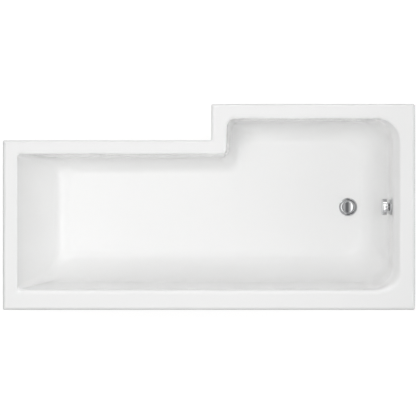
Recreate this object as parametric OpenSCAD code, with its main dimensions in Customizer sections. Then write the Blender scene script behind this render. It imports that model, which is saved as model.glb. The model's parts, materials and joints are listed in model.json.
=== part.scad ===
// L-shaped shower bath on a levelled cradle, with a pop-up waste worked by the overflow's knob.
// The origin is on the room's floor under the middle of the rim: +X to the waste, +Y to the step.

/* [Rim] */
// Length of the bath
bath_length = 1700; // [1600:10:1800]
// Width at the showering end
wide_width = 850; // [820:5:900]
// How much narrower the bathing end is
step_depth = 150; // [110:5:180]
// Length of the wide part
wide_length = 840; // [780:10:900]
// Height of the rim above the room's floor
rim_height = 550; // [530:5:600]
// Depth of the turned-down lip
lip_drop = 40; // [30:1:50]
// Thickness of the acrylic sheet
sheet_t = 4; // [3:0.5:5]
// Width of the rim along the room's wall
rim_back_w = 62; // [56:1:70]
// Width of the rim at the waste end
rim_waste_w = 55; // [50:1:65]
// Width of the rim along the wide part
rim_screen_w = 54; // [48:1:65]
// Width of the rim at the step
rim_step_w = 54; // [48:1:65]
// Width of the rim along the narrow part
rim_front_w = 51; // [48:1:65]
// Width of the rim at the head end
rim_head_w = 54; // [48:1:65]

/* [Tub] */
// Height of the tub's floor at the waste above the room's floor
floor_height = 155; // [145:5:180]
// How much higher the floor is at the head end
floor_fall = 8; // [4:1:12]
// Slope of the backrest at its top, from upright
head_tilt = 16; // [10:1:20]
// How far the backrest curves out towards its foot
head_flare = 62; // [30:1:90]
// Slope of the end wall at the overflow, from upright
waste_tilt = 7; // [4:1:12]
// How far the end wall curves out towards its foot
waste_flare = 62; // [30:1:90]
// Width of the soft shoulder above the overflow
waste_lead = 23; // [10:1:30]
// Slope of the back wall, from upright
back_tilt = 7; // [4:1:12]
// Slope of the front walls, from upright
front_tilt = 2.5; // [2:0.5:8]
// Slope of the step's wall, from upright
step_tilt = 3; // [2:0.5:8]
// Thickness of the glass-fibre layer
fibre_t = 3.5; // [2.5:0.5:5]
// Distance from the waste's centre to the end of the rim
waste_from_end = 272; // [262:1:300]
// Depth of the overflow's centre under the rim
overflow_drop = 120; // [112:1:130]

/* [Board and battens] */
// Thickness of the base board
board_t = 15; // [12:1:22]
// Width of the base board
board_w = 280; // [240:5:300]
// Thickness of a rim batten
batten_t = 18; // [12:1:25]
// Width of the back batten
back_batten_w = 38; // [30:1:42]
// Width of the other battens
batten_w = 28; // [20:1:32]

/* [Cradle] */
// Width of a cradle bar
bar_w = 40; // [36:1:50]
// Depth of a cradle bar
bar_h = 24; // [18:1:30]
// Thickness of the bar's steel
bar_t = 2; // [1.5:0.5:3]
// Distance from the narrow bar's end to the leg
leg_from_bar_end = 28; // [24:1:40]
// Diameter of a stud
stud_d = 10; // [8:1:12]
// Length of stud above the bar
stud_above = 42; // [40:1:50]
// Diameter of a foot
foot_d = 54; // [44:1:60]
// Height of a foot
foot_h = 30; // [24:1:36]
// Across the flats of a nut
nut_flats = 17; // [15:1:19]
// Thickness of a nut
nut_h = 8; // [6:1:10]

/* [Waste] */
// Diameter of the waste's flange
flange_d = 75; // [70:1:80]
// Diameter of the hole in the tub for the waste
waste_hole_d = 52; // [48:1:56]
// Diameter of the plug
plug_d = 46.5; // [42:0.5:48]
// Outside diameter of the trap's thread
tail_d = 47.8; // [40:0.1:50]
// Bore of the tail
tail_bore_d = 40; // [34:0.5:42]
// How far the plug opens
lift = 7.5; // [5:0.5:8]

/* [Overflow] */
// Diameter of the knob
knob_d = 68; // [60:1:75]
// Length of the knob
knob_l = 18.7; // [14:0.1:24]
// Diameter of the plate
plate_d = 70; // [64:1:76]
// Diameter of the neck behind the knob
neck_d = 44; // [40:1:50]
// How far the knob turns
knob_turn = 90; // [60:5:120]
// Outside diameter of the overflow pipe
pipe_d = 28; // [24:1:32]
// Outside diameter of the control cable
cable_d = 6; // [5:0.5:8]

/* [Wall brackets] */
// Width of a bracket
bracket_w = 40; // [30:1:60]
// Thickness of a bracket's steel
bracket_t = 2; // [1.5:0.5:3]
// Distance between a bracket's two wall holes
bracket_hole_step = 30; // [20:1:40]
// Diameter of a bracket's wall hole
bracket_hole_d = 6; // [5:0.5:7]

/* [Hidden] */
$fn = 48;

// Gaps: a seat between fixed pieces, a running fit, a free way and a cut's overrun
seat_gap = 0.3;
run_gap = 0.05;
free_gap = 0.6;
overrun = 1;

// Outline of the rim
half_l = bath_length / 2;
half_w = wide_width / 2;
step_x = half_l - wide_length;
front_y = half_w - step_depth;
lip_round = 12;
lip_corner_r = 7;
waste_x = half_l - waste_from_end;

tub_depth = rim_height - floor_height;

// Sides in order: back, waste end, screen side, step, front, head end
rim_widths = [rim_back_w, rim_waste_w, rim_screen_w, rim_step_w, rim_front_w, rim_head_w];
edge_r = 6;
back_edge_r = 24;
edge_radii = [back_edge_r, edge_r, edge_r, edge_r, edge_r, edge_r];
tilts = [back_tilt, waste_tilt, front_tilt, step_tilt, front_tilt, head_tilt];
lead_depth = 58;
leads = [0, waste_lead, 0, 0, 0, 0];
flares = [0, waste_flare, 0, 0, 0, head_flare];

// The end wall stays flat where the overflow sits, from seat_top to seat_low
seat_reach = 46;
seat_top = overflow_drop - seat_reach;
seat_low = overflow_drop + seat_reach;
flare_starts = [0, seat_low, 0, 0, 0, 0];

// The curve from each wall into the floor: its run along the floor and its rise up the wall
back_fillet = [120, 150];
waste_fillet = [30, 50];
screen_fillet = [80, 130];
step_fillet = [46, 90];
front_fillet = [62, 110];
head_fillet = [50, 50];
fillets = [back_fillet, waste_fillet, screen_fillet, step_fillet, front_fillet, head_fillet];
bend_rise = front_fillet[1];

// Corner radii of the tub in X and Y, at the rim and at the floor: head and back, back and waste,
// waste and screen, screen and step, step and front, front and head
head_corner_r = 12;
step_corner_r = 14;
shower_corner_r = 34;
back_corner = [105, 80];
screen_corner = [95, 95];
rim_corners = [[head_corner_r, head_corner_r], back_corner, screen_corner,
    [shower_corner_r, shower_corner_r], [step_corner_r, step_corner_r], [head_corner_r, head_corner_r]];
floor_corner_r = 45;
shower_floor_r = 55;
back_floor_corner = [130, 120];
screen_floor_corner = [110, 110];
floor_corners = [[floor_corner_r, floor_corner_r], back_floor_corner, screen_floor_corner,
    [shower_floor_r, shower_floor_r], [floor_corner_r, floor_corner_r], [floor_corner_r, floor_corner_r]];
reflex = 4;
step_lean = 5;
least_corner_r = 1;
arc_steps = 8;

// Depths at which the tub's rings lie
edge_shares = [0, 0.04, 0.12, 0.25, 0.5, 1];
under_shares = [0.25, 0.5, 1];
floor_shares = [1, 0.73, 0.55, 0.42, 0.31, 0.22, 0.14, 0.08, 0.035, 0.01, 0];
lead_share = 0.6;
wall_levels = concat([lead_depth * lead_share, lead_depth, seat_top, seat_low],
    [for (s = floor_shares) tub_depth - s * back_fillet[1]]);
inside_levels = concat([for (s = edge_shares) s * back_edge_r], wall_levels);

// How far the rounded edge turns in at a depth, t under the sheet's face
function edge_in(r, d, t = 0) = d >= r ? r - t : sqrt(max(0, pow(r - t, 2) - pow(r - d, 2)));
function fillet_in(f, d) =
    let (u = min(1, max(0, (d - tub_depth + f[1]) / f[1]))) f[0] * (1 - sqrt(1 - u * u));
function flare_in(i, d) =
    flares[i] * pow(max(0, d - flare_starts[i]) / (tub_depth - flare_starts[i]), 2);
// How far a side's wall lies inside the outline at a depth
function wall_in(i, d) = rim_widths[i] + edge_in(edge_radii[i], d) + leads[i] * min(1, d / lead_depth)
    + tan(tilts[i]) * max(0, d - edge_radii[i]) + flare_in(i, d) + fillet_in(fillets[i], d);
function bend(d) = asin(min(1, max(0, (d - tub_depth + bend_rise) / bend_rise)));

// The floor's rise at x above its level at the waste
head_foot_x = wall_in(5, tub_depth) - half_l;
fall_ratio = floor_fall / (waste_x - head_foot_x);
function fall_rise(x) = fall_ratio * (waste_x - x);

function arc(c, r, from, to) = [for (k = [0:arc_steps])
    let (a = from + (to - from) * k / arc_steps) [c[0] + r[0] * cos(a), c[1] + r[1] * sin(a)]];
function outline(ins, r, lean) =
    let (x0 = ins[5] - half_l, x1 = half_l - ins[1], xs = step_x + ins[3],
        y0 = ins[0] - half_w, y1 = front_y - ins[4], y2 = half_w - ins[2])
    concat(
        arc([x0 + r[0][0], y0 + r[0][1]], r[0], 180, 270),
        arc([x1 - r[1][0], y0 + r[1][1]], r[1], 270, 360),
        arc([x1 - r[2][0], y2 - r[2][1]], r[2], 0, 90),
        arc([xs + lean + r[3][0], y2 - r[3][1]], r[3], 90, 180),
        arc([xs - r[4][0], y1 + r[4][1]], r[4], 0, -90),
        arc([x0 + r[5][0], y1 - r[5][1]], r[5], 90, 180));

// A ring of the tub at depth d, moved out of the sheet's inside face by t
function tub_ring(d, t) =
    let (b = bend(d),
        ins = [for (i = [0:5]) wall_in(i, d) + edge_in(edge_radii[i], d, t) - edge_in(edge_radii[i], d)
            + t * (1 - cos(b))],
        r = [for (j = [0:5]) [for (k = [0:1]) max(least_corner_r,
            rim_corners[j][k] + (floor_corners[j][k] - rim_corners[j][k]) * d / tub_depth
            + (j == reflex ? -t : t) * cos(b))]])
    [for (p = outline(ins, r, step_lean))
        [p[0], p[1], rim_height - d - t * sin(b) + fall_rise(p[0]) * d / tub_depth]];
// A level ring parallel to the outline
function rim_ring(inset, z) =
    let (r = [for (j = [0:5]) let (c = j == reflex ? lip_corner_r + inset
        : max(least_corner_r, lip_corner_r - inset)) [c, c]])
    [for (p = outline([for (i = [0:5]) inset], r, 0)) [p[0], p[1], z]];

// A ring round the rounded top of the lip, at an angle from its top
function lip_ring(a, r) = rim_ring(lip_round - r * sin(a), rim_height - lip_round + r * cos(a));

// A closed solid through rings of equal length. Its ends are capped by fans about one corner of the
// ring, or in a closed loop the last ring meets the first.
fan_point = arc_steps + 1 + arc_steps / 2;
module skin(rings, loop = false) {
    n = len(rings[0]);
    count = len(rings);
    last = (count - 1) * n;
    fan = [for (k = [0:n - 1]) if (k != fan_point && (k + 1) % n != fan_point) [fan_point, k, (k + 1) % n]];
    polyhedron(
        points = [for (ring = rings) for (p = ring) p],
        faces = concat(
            [for (i = [0:count - (loop ? 1 : 2)]) for (j = [0:n - 1])
                let (a = i * n + j, b = i * n + (j + 1) % n, up = ((i + 1) % count - i) * n)
                each [[a, b, b + up], [a, b + up, a + up]]],
            loop ? [] : [for (f = fan) [f[0], f[2], f[1]]],
            loop ? [] : [for (f = fan) [f[0] + last, f[1] + last, f[2] + last]]));
}

// The seats of the waste and the overflow
waste_z = rim_height - tub_depth;
overflow_x = half_l - wall_in(1, overflow_drop);
overflow_z = rim_height - overflow_drop;
module at_waste() { translate([waste_x, 0, waste_z]) children(); }
module at_overflow() { translate([overflow_x, 0, overflow_z]) rotate([0, waste_tilt - 90, 0]) children(); }
module along_x(from, to, r) { translate([from, 0, 0]) rotate([0, 90, 0]) cylinder(h = to - from, r = r); }
module along_y(from, to, r) { translate([0, from, 0]) rotate([-90, 0, 0]) cylinder(h = to - from, r = r); }
module ring(from, to, inner, outer) {
    translate([0, 0, from]) difference() {
        cylinder(h = to - from, r = outer);
        translate([0, 0, -overrun]) cylinder(h = to - from + 2 * overrun, r = inner);
    }
}
module drill(from, to, r) { translate([0, 0, from]) cylinder(h = to - from, r = r); }

skin_t = sheet_t + seat_gap + fibre_t;
waste_hole_r = waste_hole_d / 2;
overflow_hole_r = waste_hole_r;
hole_reach = 40;
fibre_hole_extra = 1;

module tub_holes(extra) {
    at_waste() drill(-hole_reach, hole_reach, waste_hole_r + extra);
    at_overflow() drill(-hole_reach, hole_reach, overflow_hole_r + extra);
}

module acrylic_shell() {
    round_steps = 3;
    color("white") difference() {
        skin(concat(
            [for (k = [len(inside_levels) - 1:-1:0]) tub_ring(inside_levels[k], 0)],
            [for (k = [0:round_steps]) lip_ring(90 * k / round_steps, lip_round)],
            [rim_ring(0, rim_height - lip_drop), rim_ring(sheet_t, rim_height - lip_drop)],
            [for (k = [round_steps:-1:0]) lip_ring(90 * k / round_steps, lip_round - sheet_t)],
            [for (d = concat([sheet_t], [for (s = under_shares) s * back_edge_r], wall_levels))
                tub_ring(d, sheet_t)]));
        tub_holes(0);
    }
}

fibre_top = back_edge_r;
module glass_fibre_layer() {
    levels = concat([fibre_top], wall_levels);
    color("palegoldenrod") difference() {
        skin(concat(
            [for (k = [len(levels) - 1:-1:0]) tub_ring(levels[k], sheet_t + seat_gap)],
            [for (d = levels) tub_ring(d, skin_t)]));
        tub_holes(fibre_hole_extra);
    }
}

// Board under the floor, parallel to it
board_from_foot = 20;
board_to_waste = 70;
board_x0 = head_foot_x + board_from_foot;
board_x1 = waste_x - board_to_waste;
board_y = (front_y - wall_in(4, tub_depth) + wall_in(0, tub_depth) - half_w) / 2;
function board_top(x) = waste_z + fall_rise(x) - skin_t - seat_gap;

// Bars across the board, each level, just under it
bar_from_board_head = 80;
bar_from_board_waste = 60;
bar_from_step = 24;
bar_head_x = board_x0 + bar_from_board_head;
bar_waste_x = board_x1 - bar_from_board_waste;
bar_middle_x = step_x - bar_from_step;
function bar_top(x) = board_top(x + bar_w / 2) - board_t - seat_gap;
bar_y0 = wall_in(0, seat_low) - half_w - leg_from_bar_end / 2;
bar_clear = 36;
bar_y1 = front_y - rim_front_w + bar_clear / 2;
bar_wide_y1 = half_w - rim_screen_w + bar_clear / 2;
bars = [[bar_head_x, bar_y1], [bar_middle_x, bar_y1], [bar_waste_x, bar_wide_y1]];
legs = [for (b = bars) each [[b[0], bar_y0 + leg_from_bar_end], [b[0], b[1] - leg_from_bar_end]]];

screw_r = 2;
screw_head_r = 4;
screw_head_h = 2.5;
screw_l = 13;
screw_from_edge = 35;
bar_screws_y_shares = [-1, -0.34, 0.34, 1];
function bar_screw_ys() = [for (s = bar_screws_y_shares) board_y + s * (board_w / 2 - screw_from_edge)];

module base_board() {
    color("burlywood") difference() {
        translate([0, board_y + board_w / 2, 0]) rotate([90, 0, 0]) linear_extrude(board_w) polygon([
            [board_x0, board_top(board_x0)], [board_x0, board_top(board_x0) - board_t],
            [board_x1, board_top(board_x1) - board_t], [board_x1, board_top(board_x1)]]);
        for (b = bars, y = bar_screw_ys()) translate([b[0], y, bar_top(b[0]) - overrun])
            cylinder(h = screw_l + 2 * overrun, r = screw_r + run_gap);
    }
}

module bar(b) {
    stud_hole_r = stud_d / 2 + free_gap;
    color("gainsboro") difference() {
        translate([b[0] - bar_w / 2, bar_y0, bar_top(b[0]) - bar_h]) difference() {
            cube([bar_w, b[1] - bar_y0, bar_h]);
            translate([bar_t, -overrun, -overrun])
                cube([bar_w - 2 * bar_t, b[1] - bar_y0 + 2 * overrun, bar_h - bar_t + overrun]);
        }
        for (y = [bar_y0 + leg_from_bar_end, b[1] - leg_from_bar_end])
            translate([b[0], y, bar_top(b[0]) - bar_t - overrun])
                cylinder(h = bar_t + 2 * overrun, r = stud_hole_r);
        for (y = bar_screw_ys()) translate([b[0], y, bar_top(b[0]) - bar_t - overrun])
            cylinder(h = bar_t + 2 * overrun, r = screw_r + run_gap);
    }
}
module cradle_bar_head() { bar(bars[0]); }
module cradle_bar_middle() { bar(bars[1]); }
module cradle_bar_waste() { bar(bars[2]); }

module screw() {
    translate([0, 0, -screw_head_h]) cylinder(h = screw_head_h, r = screw_head_r);
    cylinder(h = screw_l, r = screw_r);
}
module bar_screws() {
    color("goldenrod") for (b = bars, y = bar_screw_ys())
        translate([b[0], y, bar_top(b[0]) - bar_t - run_gap]) screw();
}

// Legs: a stud through two nuts on the bar's web, and a foot under it
foot_sole_h = 6;
foot_neck_r = 12;
foot_floor = 5;
module leg_stud(i) {
    color("silver") translate([legs[i][0], legs[i][1], foot_floor])
        cylinder(h = bar_top(legs[i][0]) + stud_above - foot_floor, r = stud_d / 2);
}
module leg_foot(i) {
    color("dimgray") translate([legs[i][0], legs[i][1], 0]) difference() {
        rotate_extrude() polygon([[0, 0], [foot_d / 2, 0], [foot_d / 2, foot_sole_h],
            [foot_neck_r, foot_h - foot_sole_h], [foot_neck_r, foot_h], [0, foot_h]]);
        translate([0, 0, foot_floor - run_gap]) cylinder(h = foot_h, r = stud_d / 2 + run_gap);
    }
}
module nut(z) {
    translate([0, 0, z]) difference() {
        cylinder(h = nut_h, r = nut_flats / sqrt(3), $fn = 6);
        translate([0, 0, -overrun]) cylinder(h = nut_h + 2 * overrun, r = stud_d / 2 + run_gap);
    }
}
module foot_nut(i) { color("silver") translate([legs[i][0], legs[i][1], 0]) nut(foot_h + run_gap); }
module bar_nuts_upper() {
    color("silver") for (p = legs) translate([p[0], p[1], bar_top(p[0])]) nut(run_gap);
}
module bar_nuts_lower() {
    color("silver") for (p = legs) translate([p[0], p[1], bar_top(p[0])]) nut(-bar_t - nut_h - run_gap);
}

// Battens bonded under the rim, each between the lip and the tub
batten_top = rim_height - sheet_t - seat_gap;
lip_gap = 8;
batten_edge = sheet_t + lip_gap;
batten_end = 60;
bracket_share = 0.3;
bracket_x = bath_length * bracket_share;
bracket_screw_from_edge = 12;
bracket_foot_in = 6;
bracket_foot = back_batten_w - bracket_foot_in;
module batten(x0, x1, y0, y1) {
    color("tan") translate([x0, y0, batten_top - batten_t]) cube([x1 - x0, y1 - y0, batten_t]);
}
function bracket_screw_places() = [for (x = [-bracket_x, bracket_x], s = [-1, 1])
    [x + s * (bracket_w / 2 - bracket_screw_from_edge / 2 - screw_head_r / 2),
        batten_edge - half_w + bracket_foot / 2]];
module batten_back() {
    difference() {
        batten(batten_end - half_l, half_l - batten_end, batten_edge - half_w,
            batten_edge - half_w + back_batten_w);
        for (p = bracket_screw_places()) translate([p[0], p[1], batten_top - batten_t - overrun])
            cylinder(h = screw_l + 2 * overrun, r = screw_r + run_gap);
    }
}
module batten_front() {
    batten(batten_end - half_l, step_x - batten_end / 2,
        front_y - batten_edge - batten_w, front_y - batten_edge);
}
module batten_screen() {
    batten(step_x + batten_end, half_l - batten_end, half_w - batten_edge - batten_w, half_w - batten_edge);
}
module batten_head() {
    batten(batten_edge - half_l, batten_edge - half_l + batten_w, batten_end - half_w, front_y - batten_end);
}
module batten_waste() {
    batten(half_l - batten_edge - batten_w, half_l - batten_edge, batten_end - half_w, half_w - batten_end);
}
module batten_step() {
    batten(step_x + batten_edge, step_x + batten_edge + batten_w, front_y + seat_gap, half_w - batten_end);
}

// Brackets that hang from the back batten and stand flush with the wall below the lip
bracket_drop = 110;
bracket_below_lip = 8;
bracket_jog = lip_drop + bracket_below_lip;
bracket_hole_up = 15;
bracket_hole_z = rim_height - bracket_drop + bracket_hole_up;
module bracket(x) {
    y = batten_edge - half_w;
    z = batten_top - batten_t - seat_gap;
    z_jog = rim_height - bracket_jog;
    z_low = rim_height - bracket_drop;
    color("gainsboro") translate([x - bracket_w / 2, 0, 0]) difference() {
        rotate([90, 0, 90]) linear_extrude(bracket_w) polygon([
            [y, z], [y + bracket_foot, z], [y + bracket_foot, z - bracket_t], [y + bracket_t, z - bracket_t],
            [y + bracket_t, z_jog - bracket_t], [bracket_t - half_w, z_jog - bracket_t],
            [bracket_t - half_w, z_low], [-half_w, z_low], [-half_w, z_jog], [y, z_jog]]);
        for (k = [0, 1]) translate([bracket_w / 2, -half_w - overrun, bracket_hole_z + k * bracket_hole_step])
            along_y(0, bracket_t + 2 * overrun, bracket_hole_d / 2);
        for (p = bracket_screw_places()) translate([p[0] - x + bracket_w / 2, p[1], z - bracket_t - overrun])
            cylinder(h = bracket_t + 2 * overrun, r = screw_r + run_gap);
    }
}
module wall_bracket_left() { bracket(-bracket_x); }
module wall_bracket_right() { bracket(bracket_x); }
module bracket_screws() {
    color("goldenrod") for (p = bracket_screw_places())
        translate([p[0], p[1], batten_top - batten_t - seat_gap - bracket_t - run_gap]) screw();
}

// Waste, in heights from the tub's floor at the waste
flange_low = 1.7;
flange_edge_h = 1.4;
flange_crown = 4.6;
flange_bead = 4;
flange_dish = 0.6;
bowl_r = plug_d / 2 + 1.2;
bowl_top = 3;
seat_foot = -4;
flange_bore_r = 20;
flange_tube_r = 23;
flange_tube_end = -30;
cross_top = -18;
cross_low = -22;
cross_arm_w = 4;
cross_hub_r = 7.5;
stem_r = 4;
stem_end = -31;

module waste_flange() {
    color("silver") at_waste() difference() {
        union() {
            rotate_extrude() polygon([
                [flange_bore_r, seat_foot], [bowl_r, bowl_top], [bowl_r + flange_bead, flange_crown - flange_dish],
                [flange_d / 2 - flange_bead, flange_crown], [flange_d / 2, flange_low + flange_edge_h],
                [flange_d / 2, flange_low], [flange_tube_r, flange_low],
                [flange_tube_r, flange_tube_end], [flange_bore_r, flange_tube_end]]);
            for (a = [0, 90]) rotate([0, 0, a])
                translate([-flange_bore_r - overrun, -cross_arm_w / 2, cross_low])
                    cube([2 * (flange_bore_r + overrun), cross_arm_w, cross_top - cross_low]);
            drill(cross_low, cross_top, cross_hub_r);
        }
        drill(cross_low - overrun, cross_top + overrun, stem_r + run_gap);
    }
}

seal_inset = 2.5;
module waste_top_seal() {
    color("dimgray") at_waste() ring(seat_gap, flange_low - seat_gap / 2, waste_hole_r + fibre_hole_extra,
        flange_d / 2 - seal_inset);
}

body_flange_r = 38;
bottom_seal_t = 4;
body_top = -skin_t - seat_gap - bottom_seal_t - seat_gap;
module waste_bottom_seal() {
    color("dimgray") at_waste() ring(body_top + seat_gap / 2, -skin_t - seat_gap,
        waste_hole_r + fibre_hole_extra, body_flange_r - seal_inset);
}

// Lever that lifts the plug: a level arm under the lift pin and a hanging arm at the cable
lever_swing = 30;
lever_arm = lift / (2 * tan(lever_swing / 2));
lever_t = 4;
lever_pin_r = 2;
lever_hub_r = 4.5;
pivot_z = -46;
cable_low_z = pivot_z - lever_arm;
arm_spare = 2.2;
drum_pitch_r = lift / (knob_turn * PI / 180);
cable_y = drum_pitch_r;
level_arm_w = 4.6;
hanging_arm_w = 4;

body_neck_t = 4;
chamber_r = 34;
chamber_wall = 3;
chamber_top = -27;
chamber_low = -67;
tail_low = -88;
bridge_top = -33;
bridge_low = -37;
bridge_w = 8;
pin_r = 3;
pin_hub_r = 6;
socket_wall = 3;
pipe_r = pipe_d / 2;
pipe_wall = 2.5;
pipe_y = -18;
pipe_low_z = -42;
socket_end = 58;
cable_r = cable_d / 2;
core_r = 0.9;
cable_boss_end = 45;
body_outer_r = chamber_r + chamber_wall;

module waste_body() {
    color("whitesmoke") at_waste() difference() {
        union() {
            drill(body_top - body_neck_t, body_top, body_flange_r);
            drill(chamber_low - chamber_wall, body_top, body_outer_r);
            drill(tail_low, chamber_low, tail_d / 2);
            translate([0, pipe_y, pipe_low_z]) along_x(0, socket_end, pipe_r + socket_wall);
            translate([0, cable_y, cable_low_z]) along_x(0, cable_boss_end, cable_r + socket_wall / 2);
        }
        drill(chamber_top - overrun, body_top + overrun, flange_tube_r + seat_gap);
        difference() {
            drill(chamber_low, chamber_top, chamber_r);
            translate([-bridge_w / 2, -chamber_r - overrun, bridge_low])
                cube([bridge_w, 2 * (chamber_r + overrun), bridge_top - bridge_low]);
            drill(bridge_low, bridge_top, pin_hub_r);
        }
        drill(bridge_low - overrun, bridge_top + overrun, pin_r + run_gap);
        drill(tail_low - overrun, chamber_low + overrun, tail_bore_d / 2);
        translate([0, pipe_y, pipe_low_z]) {
            along_x(chamber_r / 3, socket_end + overrun, pipe_r - pipe_wall);
            along_x(body_outer_r + overrun, socket_end + overrun, pipe_r + run_gap);
        }
        translate([0, cable_y, cable_low_z])
            along_x(chamber_r / 2, cable_boss_end + overrun, core_r + run_gap);
        translate([lever_arm, 0, pivot_z]) along_y(-body_outer_r, body_outer_r, lever_pin_r + run_gap);
    }
}

// Plug, closed
plug_edge_low = 1.6;
plug_edge_high = 3.4;
plug_crown = 5.2;
plug_bevel = 3;
plug_core_r = 17;
seal_low = -3.4;
seal_high = -0.6;
seal_core_r = 15;
seat_slope = (bowl_r - flange_bore_r) / (bowl_top - seat_foot);
function seat_r(z) = flange_bore_r + (z - seat_foot) * seat_slope;
module waste_plug() {
    color("silver") at_waste() rotate_extrude() polygon([
        [0, stem_end], [stem_r, stem_end], [stem_r, seal_low - plug_bevel],
        [plug_core_r, seal_low - seat_gap], [seal_core_r, seal_low - seat_gap],
        [seal_core_r, seal_high + seat_gap], [plug_core_r, seal_high + seat_gap],
        [plug_d / 2, plug_edge_low], [plug_d / 2, plug_edge_high],
        [plug_d / 2 - plug_bevel, plug_crown], [0, plug_crown]]);
}
module plug_seal() {
    color("dimgray") at_waste() rotate_extrude() polygon([
        [seal_core_r + run_gap, seal_low], [seat_r(seal_low) - seat_gap, seal_low],
        [seat_r(seal_high) - seat_gap, seal_high], [seal_core_r + run_gap, seal_high]]);
}

// Height of the level arm's top under the lift pin, with the lever at its lowest
arm_top_z = pivot_z - lift / 2 + lever_t / 2 / cos(lever_swing / 2);
module lift_pin() {
    foot = arm_top_z + pin_r * tan(lever_swing / 2) + seat_gap;
    color("silver") at_waste() drill(foot, stem_end - seat_gap, pin_r);
}

module lift_lever() {
    color("khaki") at_waste() translate([lever_arm, 0, pivot_z]) rotate([0, -lever_swing / 2, 0])
        difference() {
            union() {
                along_y(-level_arm_w / 2, cable_y + hanging_arm_w / 2, lever_hub_r);
                translate([-lever_arm - pin_r, -level_arm_w / 2, -lever_t / 2])
                    cube([lever_arm + pin_r, level_arm_w, lever_t]);
                translate([-lever_t / 2, cable_y - hanging_arm_w / 2, -lever_arm - arm_spare])
                    cube([lever_t, hanging_arm_w, lever_arm + arm_spare]);
            }
            along_y(-body_outer_r, body_outer_r, lever_pin_r + run_gap);
        }
}
pin_end = sqrt(body_outer_r * body_outer_r - lever_arm * lever_arm) - chamber_wall / 3;
module lever_pin() {
    color("silver") at_waste() translate([lever_arm, 0, pivot_z]) along_y(-pin_end, pin_end, lever_pin_r);
}

// Overflow, in the end wall's own frame: X up the wall, Z into the tub
plate_t = 3.7;
plate_step_h = 4;
plate_step_in = 3;
plate_step_run = 3.2;
plate_bevel = 0.8;
neck_wall = 3;
knob_back = 17.8;
knob_front = knob_back + knob_l;
knob_bevel = 2.4;
knob_wall = 4;
knob_hub_r = 9;
knob_cup = 9;
spindle_r = 4;
spindle_thin_r = 2.5;
knob_spare = 3.5;
grub_r = 3;
grub_sunk = 1.6;
grub_from_back = 5.8;
grub_z = knob_back + grub_from_back;
grub_boss_wall = 2.5;
plate_tube_end = -16;
web_top = -5;
web_low = -9;
web_arm_w = 5;
window_w = 26;
window_h = 6.5;

module overflow_plate() {
    neck_r = neck_d / 2;
    plate_top = seat_gap + plate_t;
    step_top = plate_top + plate_step_h;
    neck_top = knob_back - free_gap;
    color("silver") at_overflow() difference() {
        union() {
            rotate_extrude() polygon([
                [neck_r - neck_wall, plate_tube_end], [neck_r, plate_tube_end], [neck_r, seat_gap],
                [plate_d / 2, seat_gap], [plate_d / 2, plate_top - plate_bevel],
                [plate_d / 2 - plate_bevel, plate_top], [plate_d / 2 - plate_step_in, plate_top],
                [plate_d / 2 - plate_step_in - plate_step_run, step_top],
                [neck_r, step_top], [neck_r, neck_top], [neck_r - neck_wall, neck_top]]);
            for (a = [0, 90]) rotate([0, 0, a])
                translate([overrun - neck_r, -web_arm_w / 2, web_low])
                    cube([2 * (neck_r - overrun), web_arm_w, web_top - web_low]);
            drill(web_low, web_top, knob_hub_r);
        }
        drill(web_low - overrun, web_top + overrun, spindle_r + run_gap);
        for (a = [0:90:270]) rotate([0, 0, a])
            translate([neck_r / 2, -window_w / 2, step_top + overrun]) cube([neck_r / 2 + overrun, window_w, window_h]);
    }
}

module overflow_knob() {
    r = knob_d / 2;
    color("silver") at_overflow() difference() {
        union() {
            rotate_extrude() polygon([
                [0, knob_back], [knob_hub_r, knob_back], [knob_hub_r, knob_back + knob_cup],
                [r - knob_wall, knob_back + knob_cup], [r - knob_wall, knob_back],
                [r - knob_bevel / 2, knob_back], [r, knob_back + knob_bevel / 2],
                [r, knob_front - knob_bevel], [r - knob_bevel, knob_front], [0, knob_front]]);
            translate([0, 0, grub_z]) along_x(0, r - knob_wall / 2, grub_r + grub_boss_wall);
        }
        drill(knob_back - overrun, knob_front - knob_spare, spindle_r + run_gap);
        translate([0, 0, grub_z]) along_x(0, r + overrun, grub_r + run_gap);
    }
}
module grub_screw() {
    socket_r = 1.5;
    socket_l = 3;
    color("dimgray") at_overflow() translate([0, 0, grub_z]) difference() {
        along_x(spindle_r + seat_gap, knob_d / 2 - grub_sunk, grub_r);
        translate([knob_d / 2 - grub_sunk - socket_l, 0, 0]) rotate([0, 90, 0])
            cylinder(h = socket_l + overrun, r = socket_r, $fn = 6);
    }
}

seal_t = 3;
over_body_top = -skin_t - seat_gap - seal_t - seat_gap;
over_flange_r = 38;
over_flange_t = 4;
over_room_r = 26;
over_depth = 38;
over_back = over_body_top - over_depth;
drum_z0 = -25;
drum_z1 = -19;
drum_mid = (drum_z0 + drum_z1) / 2;
drum_rim_r = 8;
drum_rim_t = 1.2;
thin_from = plate_tube_end;
drum_stand = 2;
bearing_top = drum_z0 - drum_stand;
bearing_depth = 6;
bearing_r = 6;
spigot_z = -33;
spigot_end = 46;
cable_exit = 40;

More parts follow.
